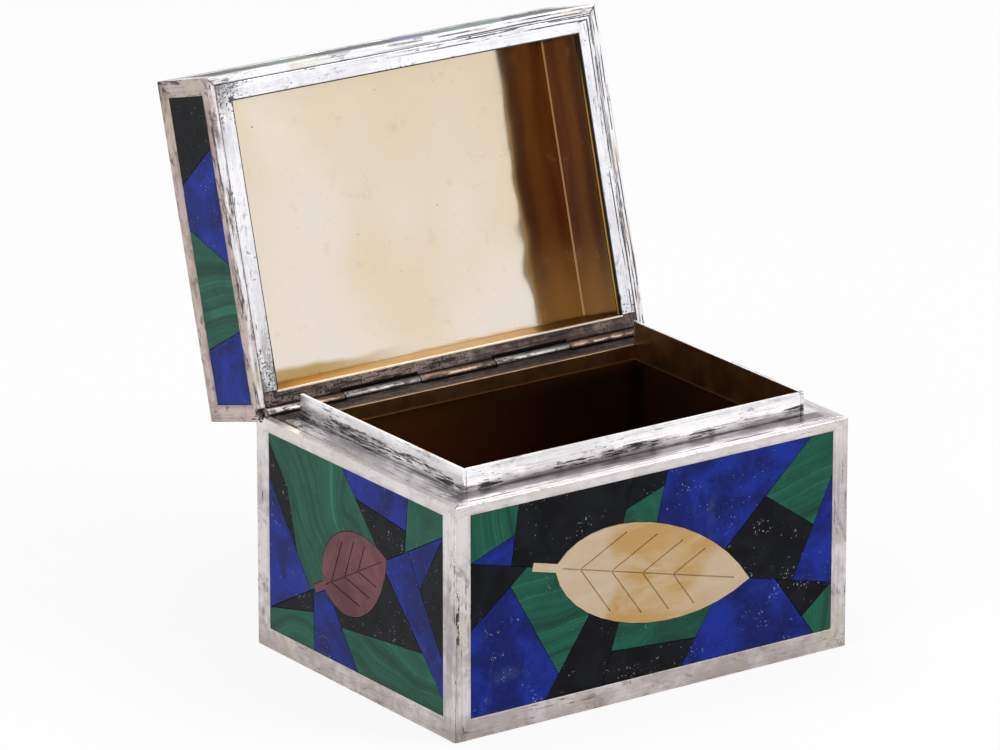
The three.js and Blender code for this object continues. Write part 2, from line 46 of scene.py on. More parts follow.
# Sizes of the part, in millimetres
MM = 0.001
WIDTH, DEPTH = 130.0, 94.5
BODY_HEIGHT, LID_HEIGHT = 66.0, 25.4
SEAT_GAP = 0.15
LEDGE_WIDTH, LID_RIM_WIDTH = 8.6, 7.4
LID_PLATE_HEIGHT = 18.5
COLLAR_RISE, COLLAR_DROP = 6.6, 4.6
BODY_LOW_RAIL, FRONT_HIGH_RAIL, BACK_HIGH_RAIL, END_HIGH_RAIL = 6.0, 3.0, 6.0, 3.5
FRONT_STILE, END_STILE = 5.1, 5.8
LID_MOUTH_RAIL, LID_BACK_MOUTH_RAIL, LID_HIGH_RAIL, LID_STILE = 3.2, 5.5, 4.6, 4.7
LID_TOP_BORDER = 6.0
AXIS_Y, AXIS_Z = 45.55, 66.075
KNUCKLE_RADIUS, BORE_RADIUS, CHANNEL_RADIUS = 1.6, 0.75, 1.85
OPEN_ANGLE = math.radians(105.5)
LID_TURN = Matrix.Rotation(-OPEN_ANGLE, 3, "X")
HALF_W, HALF_D = WIDTH / 2, DEPTH / 2
LID_MOUTH = BODY_HEIGHT + SEAT_GAP

# Camera, at the photograph's viewing angle
CAMERA_AZIMUTH = math.radians(-35.168)
CAMERA_ELEVATION = math.radians(18.339)
CAMERA_DISTANCE = 2.0946
CAMERA_TARGET = Vector((-0.0173, 0.0, 0.0810))
LENS, SENSOR = 279.8, 36.0


def add_camera():
    back = Vector((
        math.sin(CAMERA_AZIMUTH) * math.cos(CAMERA_ELEVATION),
        -math.cos(CAMERA_AZIMUTH) * math.cos(CAMERA_ELEVATION),
        math.sin(CAMERA_ELEVATION),
    ))
    data = bpy.data.cameras.new("camera")
    data.lens = LENS
    data.sensor_width = SENSOR
    data.sensor_fit = "HORIZONTAL"
    data.clip_start, data.clip_end = 0.05, 50
    camera = bpy.data.objects.new("camera", data)
    camera.location = CAMERA_TARGET + back * CAMERA_DISTANCE
    camera.rotation_euler = back.to_track_quat("Z", "Y").to_euler()
    scene.collection.objects.link(camera)
    scene.camera = camera


class Field:
    """A number in a node tree, which takes part in sums with other numbers."""

    def __init__(self, nodes, socket):
        self.nodes = nodes
        self.socket = socket

    def __add__(self, other):
        return self.nodes.math("ADD", self, other)

    __radd__ = __add__

    def __sub__(self, other):
        return self.nodes.math("SUBTRACT", self, other)

    def __rsub__(self, other):
        return self.nodes.math("SUBTRACT", other, self)

    def __mul__(self, other):
        return self.nodes.math("MULTIPLY", self, other)


class Nodes:
    """A node tree with short names for the nodes that the materials share."""

    def __init__(self, tree, owner):
        self.tree = tree
        self.owner = owner
        tree.nodes.clear()

    def add(self, kind, inputs=(), **settings):
        node = self.tree.nodes.new(kind)
        for key, value in settings.items():
            setattr(node, key, value)
        for key, value in dict(inputs).items():
            self.feed(node.inputs[key], value)
        return node

    def feed(self, socket, value):
        if isinstance(value, Field):
            value = value.socket
        if isinstance(value, bpy.types.NodeSocket):
            self.tree.links.new(value, socket)
        elif socket.type == "RGBA":
            socket.default_value = (*value, 1.0)
        else:
            socket.default_value = value

    def math(self, operation, *values):
        node = self.add("ShaderNodeMath", enumerate(values), operation=operation)
        return Field(self, node.outputs[0])

    def most(self, a, b):
        return self.math("MAXIMUM", a, b)

    def least(self, a, b):
        return self.math("MINIMUM", a, b)

    def size(self, a):
        return self.math("ABSOLUTE", a)

    def scaled(self, vector, x, y, z):
        return self.add("ShaderNodeVectorMath", {0: vector, 1: (x, y, z)}, operation="MULTIPLY").outputs[0]

    def noise(self, vector, scale, detail, roughness=0.55, distortion=0.0):
        """Noise at one scale, or at a scale for each axis."""
        if isinstance(scale, tuple):
            vector, scale = self.scaled(vector, *scale), 1.0
        inputs = {"Vector": vector, "Scale": scale, "Detail": detail}
        inputs.update({"Roughness": roughness, "Distortion": distortion})
        return Field(self, self.add("ShaderNodeTexNoise", inputs).outputs["Fac"])

    def step(self, value, low, high):
        """Eases from 0 at low to 1 at high, or the other way where low is above high."""
        inputs = {"Value": value, "From Min": min(low, high), "From Max": max(low, high)}
        inputs.update({"To Min": float(low > high), "To Max": float(low < high)})
        node = self.add("ShaderNodeMapRange", inputs, interpolation_type="SMOOTHSTEP")
        return Field(self, node.outputs["Result"])

    def mix(self, share, a, b, blend_type="MIX"):
        """A colour between a and b, or with MULTIPLY between a and a times b."""
        inputs = {0: share, 6: a, 7: b}
        return self.add("ShaderNodeMix", inputs, data_type="RGBA", blend_type=blend_type).outputs[2]

    def blend(self, share, a, b):
        """A number between a and b."""
        return Field(self, self.add("ShaderNodeMix", {0: share, 2: a, 3: b}, data_type="FLOAT").outputs[0])

    def split(self, vector):
        return [Field(self, s) for s in self.add("ShaderNodeSeparateXYZ", {0: vector}).outputs]

    def join(self, x, y, z):
        return self.add("ShaderNodeCombineXYZ", {0: x, 1: y, 2: z}).outputs[0]

    def bump(self, height, strength, distance, normal=None):
        inputs = {"Height": height, "Strength": strength, "Distance": distance}
        if normal is not None:
            inputs["Normal"] = normal
        return self.add("ShaderNodeBump", inputs).outputs[0]

    def surface(self, inputs):
        """Ends a material's tree with a shader, and gives the material."""
        shader = self.add("ShaderNodeBsdfPrincipled", inputs)
        self.add("ShaderNodeOutputMaterial", {"Surface": shader.outputs[0]})
        return self.owner


def material(name):
    made = bpy.data.materials.new(name)
    made.use_nodes = True
    return Nodes(made.node_tree, made)


def place_mm(n, on_lid=False):
    """The surface's place in millimetres, with the lid's taken back to where it closes."""
    place = n.add("ShaderNodeTexCoord").outputs["Object"]
    inputs = {"Vector": place, "Scale": (1000.0, 1000.0, 1000.0)}
    if on_lid:
        axis = Vector((0, AXIS_Y, AXIS_Z))
        turn = Matrix.Rotation(OPEN_ANGLE, 3, "X")
        inputs["Rotation"] = (OPEN_ANGLE, 0.0, 0.0)
        inputs["Location"] = tuple(axis - turn @ axis)
    return n.add("ShaderNodeMapping", inputs).outputs[0]


# Silver
OXIDE = (0.028, 0.025, 0.028)
# brown beside the stones, as tarnish and painted shade, and at the body's foot
BROWN_EDGE = (0.30, 0.235, 0.215)
BROWN_SMUDGE = (0.165, 0.118, 0.104)
GREY_SMUDGE = (0.150, 0.142, 0.155)
TAN = (0.54, 0.48, 0.35)
CLEAN_EDGE = (0.78, 0.77, 0.80)
RUBBED_GREY = (0.24, 0.225, 0.235)
END_GRIME = (0.21, 0.195, 0.20)
LEDGE_SHADE = (0.125, 0.106, 0.114)
COLLAR_SHADE = (0.25, 0.222, 0.232)
# painted shade in the hinge channels
CHANNEL_SHADE = (0.006, 0.005, 0.005)
# The lid bearer's lip tone is a painted highlight; the lid rim's dark lip tones are painted shade.
BODY_LIP, BEARER_LIP_HIGHLIGHT, LID_LIP_SHADE = (0.12, 0.09, 0.08), (0.72, 0.62, 0.50), (0.012, 0.008, 0.006)
DEEP_LIP_SHADE, GILT_LIP = (0.040, 0.018, 0.005), (0.56, 0.35, 0.085)
FOOT_HEIGHT = 9.0
RUB_HEIGHT, NICK_HEIGHT = 22.0, 36.0


def silver_look(tone, tarnish, **marks):
    """How silver has worn: its polished and tarnished tones, and how much of each mark it has."""
    bright = tuple(min(1.0, c * 1.15 + 0.04) for c in tone)
    look = {
        "tone": tone, "tarnish": tarnish, "bright": bright, "smudge": BROWN_SMUDGE,
        "grained": 0.12, "detail": 2.0, "stroke": (1.0, 0.85), "browned": 0.3, "worn": 1.0,
        "smudges": 0.5, "streaks": 0.5, "lines": 0.2, "grit": 0.8, "roughness": 0.3,
    }
    look.update(marks)
    return look


def inset_fields(n, xyz, axes, half, centre):
    """How far in from the two pairs of outer edges a place is, and how far along the bar."""
    offsets = [xyz[a] - c for a, c in zip(axes, centre)]
    insets = [h - n.size(o) for o, h in zip(offsets, half)]
    return insets, offsets[0] + offsets[1]


def plan_fields(n, xyz):
    """How far in from the box's sides a place is in plan, the lesser of the two, and how far along."""
    insets, along = inset_fields(n, xyz, (0, 1), (HALF_W, HALF_D), (0.0, 0.0))
    return insets, n.least(*insets), along


def crowd_of(n, place, *fields):
    """Where black oxide gathers, from 0 to 1: in blotches, and where the given fields are high."""
    total = n.step(n.noise(place, 0.09, 3.0, 0.6), 0.51, 0.60) * 0.35
    for field in fields:
        total += field
    return n.least(total, 1.0)


def past(n, field, amount, crowd):
    """1 where a field of noise passes a limit, which comes down where the crowd field is high."""
    limit = 0.665 - crowd * (0.15 * amount)
    return n.step(field - limit, -0.010, 0.022)


def worn_silver(n, place, along, across, look, crowd):
    """The colour, roughness and height of worn silver.

    Clouds of tarnish lie over the polished metal. Smudges, ragged black streaks along the bar, fine
    lines and grains of black oxide lie where the crowd field is high."""
    grain = n.join(along * 0.1, across, 0.4)
    patch = n.noise(place, 0.055, look["detail"], 0.5, 0.4)
    cloud = n.noise(place, 0.35, look["detail"], 0.55)
    drawn = n.noise(grain, (0.35, 1.1, 1.0), 3.0, 0.5)
    worn = patch * 0.55 + cloud * (0.45 - look["grained"]) + drawn * look["grained"]
    share = n.step(worn, 0.43, 0.58)
    colour = n.mix(share, look["tone"], look["tarnish"])
    hair = n.noise(grain, (0.6, 6.0, 1.0), 3.0, 0.6)
    colour = n.mix(n.step(hair, 0.47, 0.62) * 0.25, colour, look["bright"])
    smears = n.noise(grain, (2.6 - 5.0 * look["grained"], 0.36, 1.0), 4.0, 0.6, 0.3)
    smudged = n.step(smears + crowd * 0.10, 0.585, 0.70)
    colour = n.mix(smudged * look["smudges"], colour, look["smudge"])
    ragged = n.noise(grain, (*look["stroke"], 1.0), 5.0, 0.66, 0.2)
    streaks = past(n, ragged, look["streaks"], crowd)
    rule = n.noise(grain, (0.05, 0.9, 1.0), 1.0, 0.5)
    broken = n.step(n.noise(grain, (0.8, 0.5, 1.0), 3.0, 0.6), 0.47, 0.55)
    lines = n.step(n.size(rule - 0.5), 0.08, 0.03) * (broken * look["lines"])
    grit = past(n, n.noise(place, 1.5, 5.0, 0.74), look["grit"], crowd)
    dark = n.most(n.most(streaks, lines), grit)
    colour = n.mix(dark * 0.92, colour, OXIDE)
    rough = look["roughness"] + share * 0.1 + (hair - 0.5) * 0.14
    rough = n.blend(n.most(dark, smudged * 0.5), rough, 0.55)
    height = hair * 0.4 - dark * 0.6
    return colour, rough, height


def silver_surface(n, colour, rough, height, strength=0.1):
    normal = n.bump(height, strength, 0.0001)
    return n.surface({"Base Color": colour, "Metallic": 1.0, "Roughness": rough, "Normal": normal})


def ruled_lines(n, xyz):
    """Fine broken lines that run round the outer half of the lid's mouth, clearest at the right end."""
    _, inset, along = plan_fields(n, xyz)
    wander = n.noise(n.join(along * 0.02, 1.7, 0.0), 1.0, 2.0, 0.5)
    phase = n.math("FRACT", inset * 0.95 + wander * 1.6)
    lines = n.step(n.size(phase - 0.5), 0.25, 0.13)
    broken = n.noise(n.join(along * 0.1, inset * 0.9, 4.0), 1.0, 3.0, 0.6)
    lines *= n.step(broken, 0.42, 0.49)
    lines *= n.step(inset, 4.9, 4.3)
    return lines * n.step(xyz[0], -25.0, 25.0)


def mouth_marks(n, xyz, along, across, colour):
    """The edge of the lid's mouth: rubbed clean but for some dirt, and crossed by the ruled lines."""
    edge = n.step(xyz[2] - LID_MOUTH, 0.24, 0.08)
    dirt = n.noise(n.join(along * 0.07, across * 0.5, 0.9), 1.0, 5.0, 0.68, 0.3)
    dirt = n.step(dirt + n.step(xyz[0], -20.0, -60.0) * 0.06, 0.50, 0.62)
    colour = n.mix(edge * (0.9 - dirt * 0.8), colour, CLEAN_EDGE)
    return n.mix(ruled_lines(n, xyz) * edge * 0.9, colour, OXIDE)


def corner_marks(n, place, xyz, colour):
    """A grey rub and black nicks on the body, beside the corner between its left and its front."""
    from_left, from_front = xyz[0] + HALF_W, xyz[1] + HALF_D
    smear = n.noise(n.join(xyz[1] * 0.45, xyz[2] * 0.06, 2.6), 1.0, 3.0, 0.55)
    rub = n.step(n.size(xyz[2] - RUB_HEIGHT), 22.0, 8.0) * n.step(smear, 0.40, 0.62)
    rub *= n.step(from_front, 6.75, 4.25) * n.step(from_left, 1.0, 0.4)
    colour = n.mix(rub * 0.55, colour, RUBBED_GREY)
    near = n.step(from_left, 1.7, 0.9) * n.step(from_front, 0.65, 0.25)
    near *= n.step(n.size(xyz[2] - NICK_HEIGHT), 11.0, 7.0)
    torn = n.noise(n.scaled(place, 1.0, 1.0, 0.4), 0.62, 5.0, 0.72)
    return n.mix(near * (n.step(torn, 0.50, 0.53) * 0.95), colour, OXIDE)


def frame_silver(name, axes, half, centre, window, look, on_lid=False):
    """Silver of a frame, bright along its bars, and browned beside the stones by tarnish and painted
    shade.

    The two axes span it, half and centre give its outside, and window gives the half sizes and the
    centre of its opening. The lid's are worn at its mouth, the body's are brightest at the top."""
    n = material("silver_" + name)
    place = place_mm(n, on_lid)
    xyz = n.split(place)
    meets_mouth = on_lid and 2 in axes
    insets, along = inset_fields(n, xyz, axes, half, centre)
    inset = n.least(*insets)
    opening, _ = inset_fields(n, xyz, axes, window[:2], window[2:])
    edge = n.step(inset, 1.0, 0.2) * 0.42
    corner = n.step(n.most(*insets), 9.0, 3.0) * 0.3
    crowd = crowd_of(n, place, edge, corner)
    near_stone = n.step(n.least(*opening), -1.6, 0.0)
    if meets_mouth:
        mouth = n.step(xyz[2] - LID_MOUTH, 3.4, 0.8)
        worn = mouth * 0.35 + near_stone * 0.35
        crowd = n.least(crowd + worn, 1.0) * look["worn"]
    across = inset + xyz[3 - sum(axes)]
    colour, rough, height = worn_silver(n, place, along, across, look, crowd)
    if meets_mouth:
        colour = mouth_marks(n, xyz, along, across, colour)
    tan = n.noise(place, 0.045, 2.0, 0.5)
    if not on_lid:
        left_top = n.step(xyz[2], 56.0, 62.0) * n.step(xyz[0] + HALF_W, 3.0, 0.5)
        tan += left_top * 0.10
    colour = n.mix(n.step(tan, 0.54, 0.65) * 0.45, colour, TAN)
    # brown beside the stones: stains of tarnish, and painted shade
    stain = n.step(n.noise(place, 0.13, 3.0, 0.5), 0.44, 0.62)
    browned = near_stone * ((0.3 + stain) * look["browned"])
    if not on_lid:
        colour = n.mix(n.step(xyz[2], 42.0, 64.0) * 0.5, colour, look["bright"])
        colour = corner_marks(n, place, xyz, colour)
        low = n.step(xyz[2], FOOT_HEIGHT, 0.2 * FOOT_HEIGHT) * (0.3 + stain * 0.3)
        browned = n.most(browned, low)
    colour = n.mix(browned, colour, BROWN_EDGE)
    return silver_surface(n, colour, rough, height)


def upright_frame(name, axis, stile, low_rail, high_rail, look):
    """Silver of an upright frame along X or Y, whose window its stiles and its two rails leave."""
    on_lid = name.startswith("lid_")
    reach = (HALF_W, HALF_D)[axis]
    foot, height = (LID_MOUTH, LID_HEIGHT) if on_lid else (0.0, BODY_HEIGHT)
    rise = (height - low_rail - high_rail) / 2
    window = (reach - stile, rise, 0.0, foot + low_rail + rise)
    outside, centre = (reach, height / 2), (0.0, foot + height / 2)
    return frame_silver(name, (axis, 2), outside, centre, window, look, on_lid)


def lip(n, inset, width, colour, edge_tone, inner_tone):
    """The lip of a ring's opening, with a tone on its edge and one on its inner face."""
    colour = n.mix(n.step(inset, width - 0.5, width - 0.3) * 0.9, colour, edge_tone)
    return n.mix(n.step(inset, width - 0.1, width - 0.05), colour, inner_tone)


def ledge_painted_shade(n, xyz, inset, along, colour):
    """The ragged painted shade on the front of the ledge, at the collar's foot."""
    ragged = n.noise(n.join(along * 0.05, inset * 0.7, 1.1), 1.0, 5.0, 0.65)
    front = n.step(xyz[1] + HALF_D, LEDGE_WIDTH + 0.5, LEDGE_WIDTH)
    front *= n.step(inset + (ragged - 0.5) * 9.0, 1.7, 5.2)
    return n.mix(front * 0.85, colour, LEDGE_SHADE)


def rim_marks_and_shade(n, xyz, inset, along, colour):
    """The lid rim's grimy left, its ruled lines, and its lip in dark painted shade, gilt deep in at the
    right.
    """
    smear = n.noise(n.join(along * 0.10, inset * 0.45, 5.0), 1.0, 4.0, 0.62)
    front_end = n.step(xyz[1], -18.0, -42.0) * n.step(inset, 8.0, 2.0)
    ends = n.most(n.step(xyz[1], 12.0, 36.0), front_end)
    grime = ends * n.step(xyz[0], -50.0, -57.0) * n.step(smear, 0.34, 0.60)
    colour = n.mix(grime * 0.80, colour, END_GRIME)
    colour = n.mix(ruled_lines(n, xyz) * 0.9, colour, OXIDE)
    # painted shade: the lip's edge and inner face are dark, but for the gilt deep in at the right
    at_right = n.step(xyz[0], 50.0, 56.0) * n.step(xyz[1], -36.0, -16.0)
    deep = n.step(n.size(xyz[2] - LID_MOUTH), 0.9, 1.4)
    inner_tone = n.mix(deep, LID_LIP_SHADE, n.mix(at_right, DEEP_LIP_SHADE, GILT_LIP))
    return lip(n, inset, LID_RIM_WIDTH, colour, LID_LIP_SHADE, inner_tone)


def span_of(n, x, node):
    """1 along the stretch of the hinge that a knuckle takes up."""
    low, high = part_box(node)
    middle, half = (low[0] + high[0]) / 2 / MM, (high[0] - low[0]) / 2 / MM
    return n.step(n.size(x - middle), half + 0.5, half + 0.1)


def bearer_lip_and_shade(width, lip_tone, knuckles):
    """What a hinge bearer shows: its lip, and painted shade, black, in its channel where the other
    bearer's knuckles face it.
    """
    def marks(n, xyz, inset, along, colour):
        colour = lip(n, inset, width, colour, lip_tone, lip_tone)
        back, up = xyz[1] - AXIS_Y, xyz[2] - AXIS_Z
        reach = n.math("SQRT", back * back + up * up)
        span = 0.0
        for node in knuckles:
            span = n.most(span, span_of(n, xyz[0], node))
        # painted shade in the channel, darkest where the other bearer's knuckles face it
        shade = n.step(reach, 2.9, 2.4) * (0.25 + span * 0.75)
        return n.mix(shade, colour, CHANNEL_SHADE)
    return marks


def ring_silver(name, look, marks):
    """Silver of a flat ring in plan, most worn at its left corners and towards the hinge.

    The function marks adds what only one ring has."""
    on_lid = name.startswith("lid_")
    width = LID_RIM_WIDTH if on_lid else LEDGE_WIDTH
    n = material("silver_" + name)
    place = place_mm(n, on_lid)
    xyz = n.split(place)
    insets, inset, along = plan_fields(n, xyz)
    edge = n.most(n.step(inset, 4.2, 2.4), n.step(inset, width - 1.0, width - 0.1))
    at_left = n.step(xyz[0], 10.0, -10.0)
    corner = n.step(n.most(*insets), 17.0, 6.0) * (0.3 + at_left * 0.7)
    rear = n.step(xyz[1], HALF_D - 30.0, HALF_D - 8.0) * (0.4 + at_left * 0.35)
    crowd = crowd_of(n, place, edge * 0.2, corner, rear)
    colour, rough, height = worn_silver(n, place, along, inset + xyz[2], look, crowd)
    return silver_surface(n, marks(n, xyz, inset, along, colour), rough, height)


def collar_gilt(n, place, rise):
    """The collar's gilt inside, paler at its lower edge."""
    bloom = n.step(n.noise(place, 0.12, 4.0, 0.6), 0.35, 0.7)
    gilt = n.mix(bloom, (0.47, 0.280, 0.125), (0.28, 0.155, 0.062))
    return n.mix(n.step(rise, 0.7 - COLLAR_DROP, 0.3 - COLLAR_DROP), gilt, (0.80, 0.54, 0.24))


def collar_silver(look):
    """The collar: bright along its top, scored black below its middle, in painted shade lower down, dark
    at its foot, gilt inside.

    The scored band runs lower on the front than on the left."""
    n = material("silver_collar")
    place = place_mm(n)
    xyz = n.split(place)
    insets, inset, along = plan_fields(n, xyz)
    rise = xyz[2] - BODY_HEIGHT
    corner = n.step(n.most(*insets), LEDGE_WIDTH + 4.0, LEDGE_WIDTH + 0.5)
    drift = n.noise(n.join(along * 0.022, 0.7, 0.0), 1.0, 2.0, 0.5)
    at_left = n.step(xyz[0] + HALF_W, LEDGE_WIDTH + 0.8, LEDGE_WIDTH + 0.2)
    middle = 1.4 + xyz[0] * 0.012 + (drift - 0.5) * 5.0 + at_left * 1.1
    spread = 0.62 + at_left * 0.38
    band = n.step(n.math("DIVIDE", n.size(rise - middle), spread), 2.4, 0.9)
    cluster = n.step(n.noise(n.join(along * 0.07, 2.2, 0.0), 1.0, 2.0, 0.5), 0.42, 0.56)
    band *= 0.32 + at_left * 0.28 + cluster * 0.68
    crowd = crowd_of(n, place, band, corner * 0.2)
    colour, rough, height = worn_silver(n, place, along, rise + inset, look, crowd)
    scuff = n.noise(n.join(along * 0.04, rise * 0.9, 3.3), 1.0, 6.0, 0.68, 0.25)
    # painted shade over the collar's lower part, less on the left
    low = n.step(rise + (scuff - 0.5) * 12.0 - middle, 0.6, -1.0) * (0.72 - at_left * 0.37)
    colour = n.mix(low, colour, COLLAR_SHADE, "MULTIPLY")
    foot = n.step(rise + (scuff - 0.5) * 1.6, 0.5, 0.15)
    colour = n.mix(foot * 0.4, colour, OXIDE)
    inside = n.step(inset, LEDGE_WIDTH + 0.80, LEDGE_WIDTH + 0.95)
    gilded = inside * n.step(rise, COLLAR_RISE - 0.15, COLLAR_RISE - 0.3)
    colour = n.mix(gilded, colour, collar_gilt(n, place, rise))
    rough = n.blend(gilded, n.blend(low, rough, 0.42), 0.3)
    rough = n.blend(n.step(rise, COLLAR_RISE - 0.25, COLLAR_RISE - 0.1), rough, 0.55)
    return silver_surface(n, colour, rough, height * (1.0 - gilded))


def tube_silver(name, tone, dark_tone):
    """A hinge tube: dark patches, black scratches, a painted highlight at its left end, painted shade
    below its top.
    """
    n = material(name)
    place = place_mm(n)
    xyz = n.split(place)
    streak = n.noise(place, (0.20, 1.3, 1.3), 6.0, 0.68, 0.3)
    patch = n.noise(place, 0.4, 5.0, 0.65)
    worn = streak * 0.6 + patch * 0.4
    dark = n.step(worn, 0.486, 0.546)
    # painted highlight: lighter at the left end, where the tube stands clear of the collar
    rubbed = n.mix(n.step(xyz[0], -45.0, -52.0), tone, (0.52, 0.48, 0.47))
    colour = n.mix(dark * 0.85, rubbed, dark_tone)
    nick = n.step(n.noise(place, (0.4, 1.6, 1.6), 4.0, 0.7), 0.56, 0.64)
    colour = n.mix(nick * 0.8, colour, OXIDE)
    # painted shade: black below the top of the tube
    colour = n.mix(n.step(xyz[2] - AXIS_Z, 0.8, 0.2) * 0.85, colour, (0.010, 0.008, 0.008))
    return silver_surface(n, colour, n.blend(dark, 0.3, 0.5), streak * 1.5)


def sheet_silver():
    """Plain sheet inside the walls and under the base, and the hinge pin."""
    n = material("silver_sheet")
    place = place_mm(n)
    cloud = n.noise(place, 0.07, 5.0, 0.6, 0.3)
    scratch = n.noise(place, (0.05, 2.2, 2.2), 4.0, 0.6, 0.2)
    colour = n.mix(n.step(cloud, 0.38, 0.66), (0.62, 0.585, 0.575), (0.42, 0.375, 0.37))
    marks = n.step(n.size(scratch - 0.5), 0.02, 0.004)
    colour = n.mix(marks * 0.35, colour, OXIDE)
    return silver_surface(n, colour, 0.28 + scratch * 0.18, scratch)


# Gilding
WHITE = (1.0, 1.0, 1.0)
DISH_REACH, DISH_EASE = 22.0, 12.0
SIDE_SLOPE, END_SLOPE, HINGE_SLOPE = 0.08, 0.035, -0.075


def gilt_surface(n, place, colour, roughness, swell, normal=None, edge_tint=WHITE):
    """Stains, specks, wiping marks and a slight swell on gilt sheet, and its shader."""
    stain = n.noise(place, 0.16, 5.0, 0.65, 0.3)
    colour = n.mix(n.step(stain, 0.56, 0.80) * 0.22, colour, (0.45, 0.31, 0.16))
    specks = n.step(n.noise(place, 0.8, 2.0, 0.5), 0.765, 0.79)
    colour = n.mix(specks * 0.8, colour, (0.06, 0.035, 0.018))
    wipe = n.noise(place, (0.07, 1.6, 1.6), 4.0, 0.6, 0.2)
    wave = n.noise(place, 0.035, 2.0, 0.5)
    rough = roughness + (wipe - 0.45) * 0.08
    height = wave * swell + wipe * 0.004
    normal = n.bump(height, 1.0, 0.001, normal)
    inputs = {"Base Color": colour, "Metallic": 1.0, "Roughness": rough}
    return n.surface({**inputs, "Specular Tint": edge_tint, "Normal": normal})


def plate_tone(n, place, xyz):
    """The lid's plate: pale and polished, duller towards the front, with a painted golden reflection of
    the hinge wall at the hinge's left end.
    """
    haze = n.noise(place, 0.024, 3.0, 0.5, 0.4)
    cloud = n.noise(place, 0.021, 1.0, 0.5, 0.3) + xyz[1] * 0.003
    colour = n.mix(n.step(cloud, 0.30, 0.68), (0.77, 0.63, 0.45), (0.80, 0.72, 0.635))
    dimmed = n.step(xyz[1], 5.0, -40.0) * n.step(xyz[0], -45.0, 20.0)
    colour = n.mix(dimmed * 0.4, colour, (0.70, 0.60, 0.475))
    # painted reflection of the wall along the hinge: a golden band, wider at the left
    rear = HALF_D - xyz[1] + (haze - 0.5) * 6.0 + xyz[0] * 0.022
    painted_wall_reflection = n.step(rear, LID_RIM_WIDTH + 3.9, LID_RIM_WIDTH + 1.9) * n.step(xyz[0], 5.0, -34.0)
    return n.mix(painted_wall_reflection * 0.92, colour, (0.44, 0.285, 0.100))


def wall_tone(n, xyz, along):
    """The lid's walls: browned in streaks, as tarnish and painted dark reflection, dark by the mouth,
    paler at mid depth and near the hinge.
    """
    depth = LID_MOUTH + LID_PLATE_HEIGHT - xyz[2]
    streak = n.noise(n.join(along * 0.02, depth * 0.12, 2.0), 1.0, 3.0, 0.55)
    tone = n.mix(n.step(streak, 0.34, 0.68), (0.066, 0.016, 0.0022), (0.125, 0.040, 0.0065))
    belly = n.step(n.size(depth - 8.5), 4.5, 0.5)
    tone = n.mix(belly * 0.3, tone, (0.19, 0.080, 0.020))
    tone = n.mix(n.step(depth, 10.0, 15.0) * 0.5, tone, (0.036, 0.012, 0.003))
    tone = n.mix(n.step(depth, 14.2, 16.0), tone, (0.070, 0.031, 0.007))
    tone = n.mix(n.step(xyz[1], 12.0, 38.0) * 0.65, tone, (0.26, 0.13, 0.035))
    # painted highlight along the foot of the walls, where they meet the plate
    return n.mix(n.step(depth, 0.45, 0.25), tone, (0.50, 0.33, 0.19))


def hinge_wall_tone(n, x):
    """The lid's wall along the hinge: olive gold, greyer past its middle and brown at its right."""
    tone = n.mix(n.step(x, -20.0, 10.0), (0.215, 0.142, 0.055), (0.20, 0.175, 0.125))
    return n.mix(n.step(x, 10.0, 30.0), tone, (0.17, 0.095, 0.028))


def dish_height(n, xyz, insets):
    """The height of the lid's plate: dished from its walls inwards, and tipped up along the hinge."""
    arms = [insets[0] - LID_RIM_WIDTH, insets[1] - LID_RIM_WIDTH, HALF_D - LID_RIM_WIDTH - xyz[1]]
    height = 0.0
    for arm, slope in zip(arms, (SIDE_SLOPE, END_SLOPE, HINGE_SLOPE)):
        height += n.math("SMOOTH_MIN", arm, DISH_REACH, DISH_EASE) * slope
    return height


def lid_gilt():
    """The lid's lining: a pale polished plate, slightly dished, and walls browned by tarnish and painted
    reflection.

    The wall along the hinge is duller than the rest."""
    n = material("gilt_lid")
    place = place_mm(n, True)
    xyz = n.split(place)
    insets, inset, along = plan_fields(n, xyz)
    wall_from, wall_to = LID_RIM_WIDTH + 0.12, LID_RIM_WIDTH + 0.04
    beside_hinge = n.step(insets[1], wall_from, wall_to) * n.step(xyz[1], 0.0, 1.0)
    walls = n.mix(beside_hinge, wall_tone(n, xyz, along), hinge_wall_tone(n, xyz[0]))
    colour = n.mix(n.step(inset, wall_from, wall_to), plate_tone(n, place, xyz), walls)
    normal = n.bump(dish_height(n, xyz, insets), 1.0, 0.001)
    edge_tint = n.mix(beside_hinge, WHITE, (0.60, 0.47, 0.31))
    return gilt_surface(n, place, colour, n.blend(beside_hinge, 0.11, 0.35), 0.8, normal, edge_tint)


def body_gilt():
    """The body's lining: brown, as tarnish and painted shade, darker towards the bottom; along its rear,
    painted light at the left and painted shade to the right.
    """
    n = material("gilt_body")
    place = place_mm(n)
    xyz = n.split(place)
    # painted shade: the lining darkens towards the bottom of the box
    depth = n.step(xyz[2], 62.0, 18.0)
    haze = n.noise(place, 0.05, 4.0, 0.55, 0.4)
    high = n.mix(n.step(haze, 0.36, 0.66), (0.44, 0.28, 0.125), (0.30, 0.18, 0.075))
    colour = n.mix(depth * 0.8, high, (0.36, 0.185, 0.068))
    # painted reflection and shade along the top of the rear wall: light at the left, dark to the right
    rear = n.step(xyz[1], 33.0, 36.0) * n.step(xyz[2], 62.0, 57.0)
    rear_light_and_shade = n.mix(n.step(xyz[0], -30.0, 40.0), (0.80, 0.40, 0.135), (0.075, 0.048, 0.026))
    colour = n.mix(rear * 0.8, colour, rear_light_and_shade)
    return gilt_surface(n, place, colour, 0.24, 0.3)


# Stones
STONE_SHIFT = (17.3, 29.1, 11.7)
STONE_TURN = 1.9


def stone_number(n):
    """The index of the stone's object, which no other stone has."""
    return Field(n, n.add("ShaderNodeObjectInfo").outputs["Object Index"])


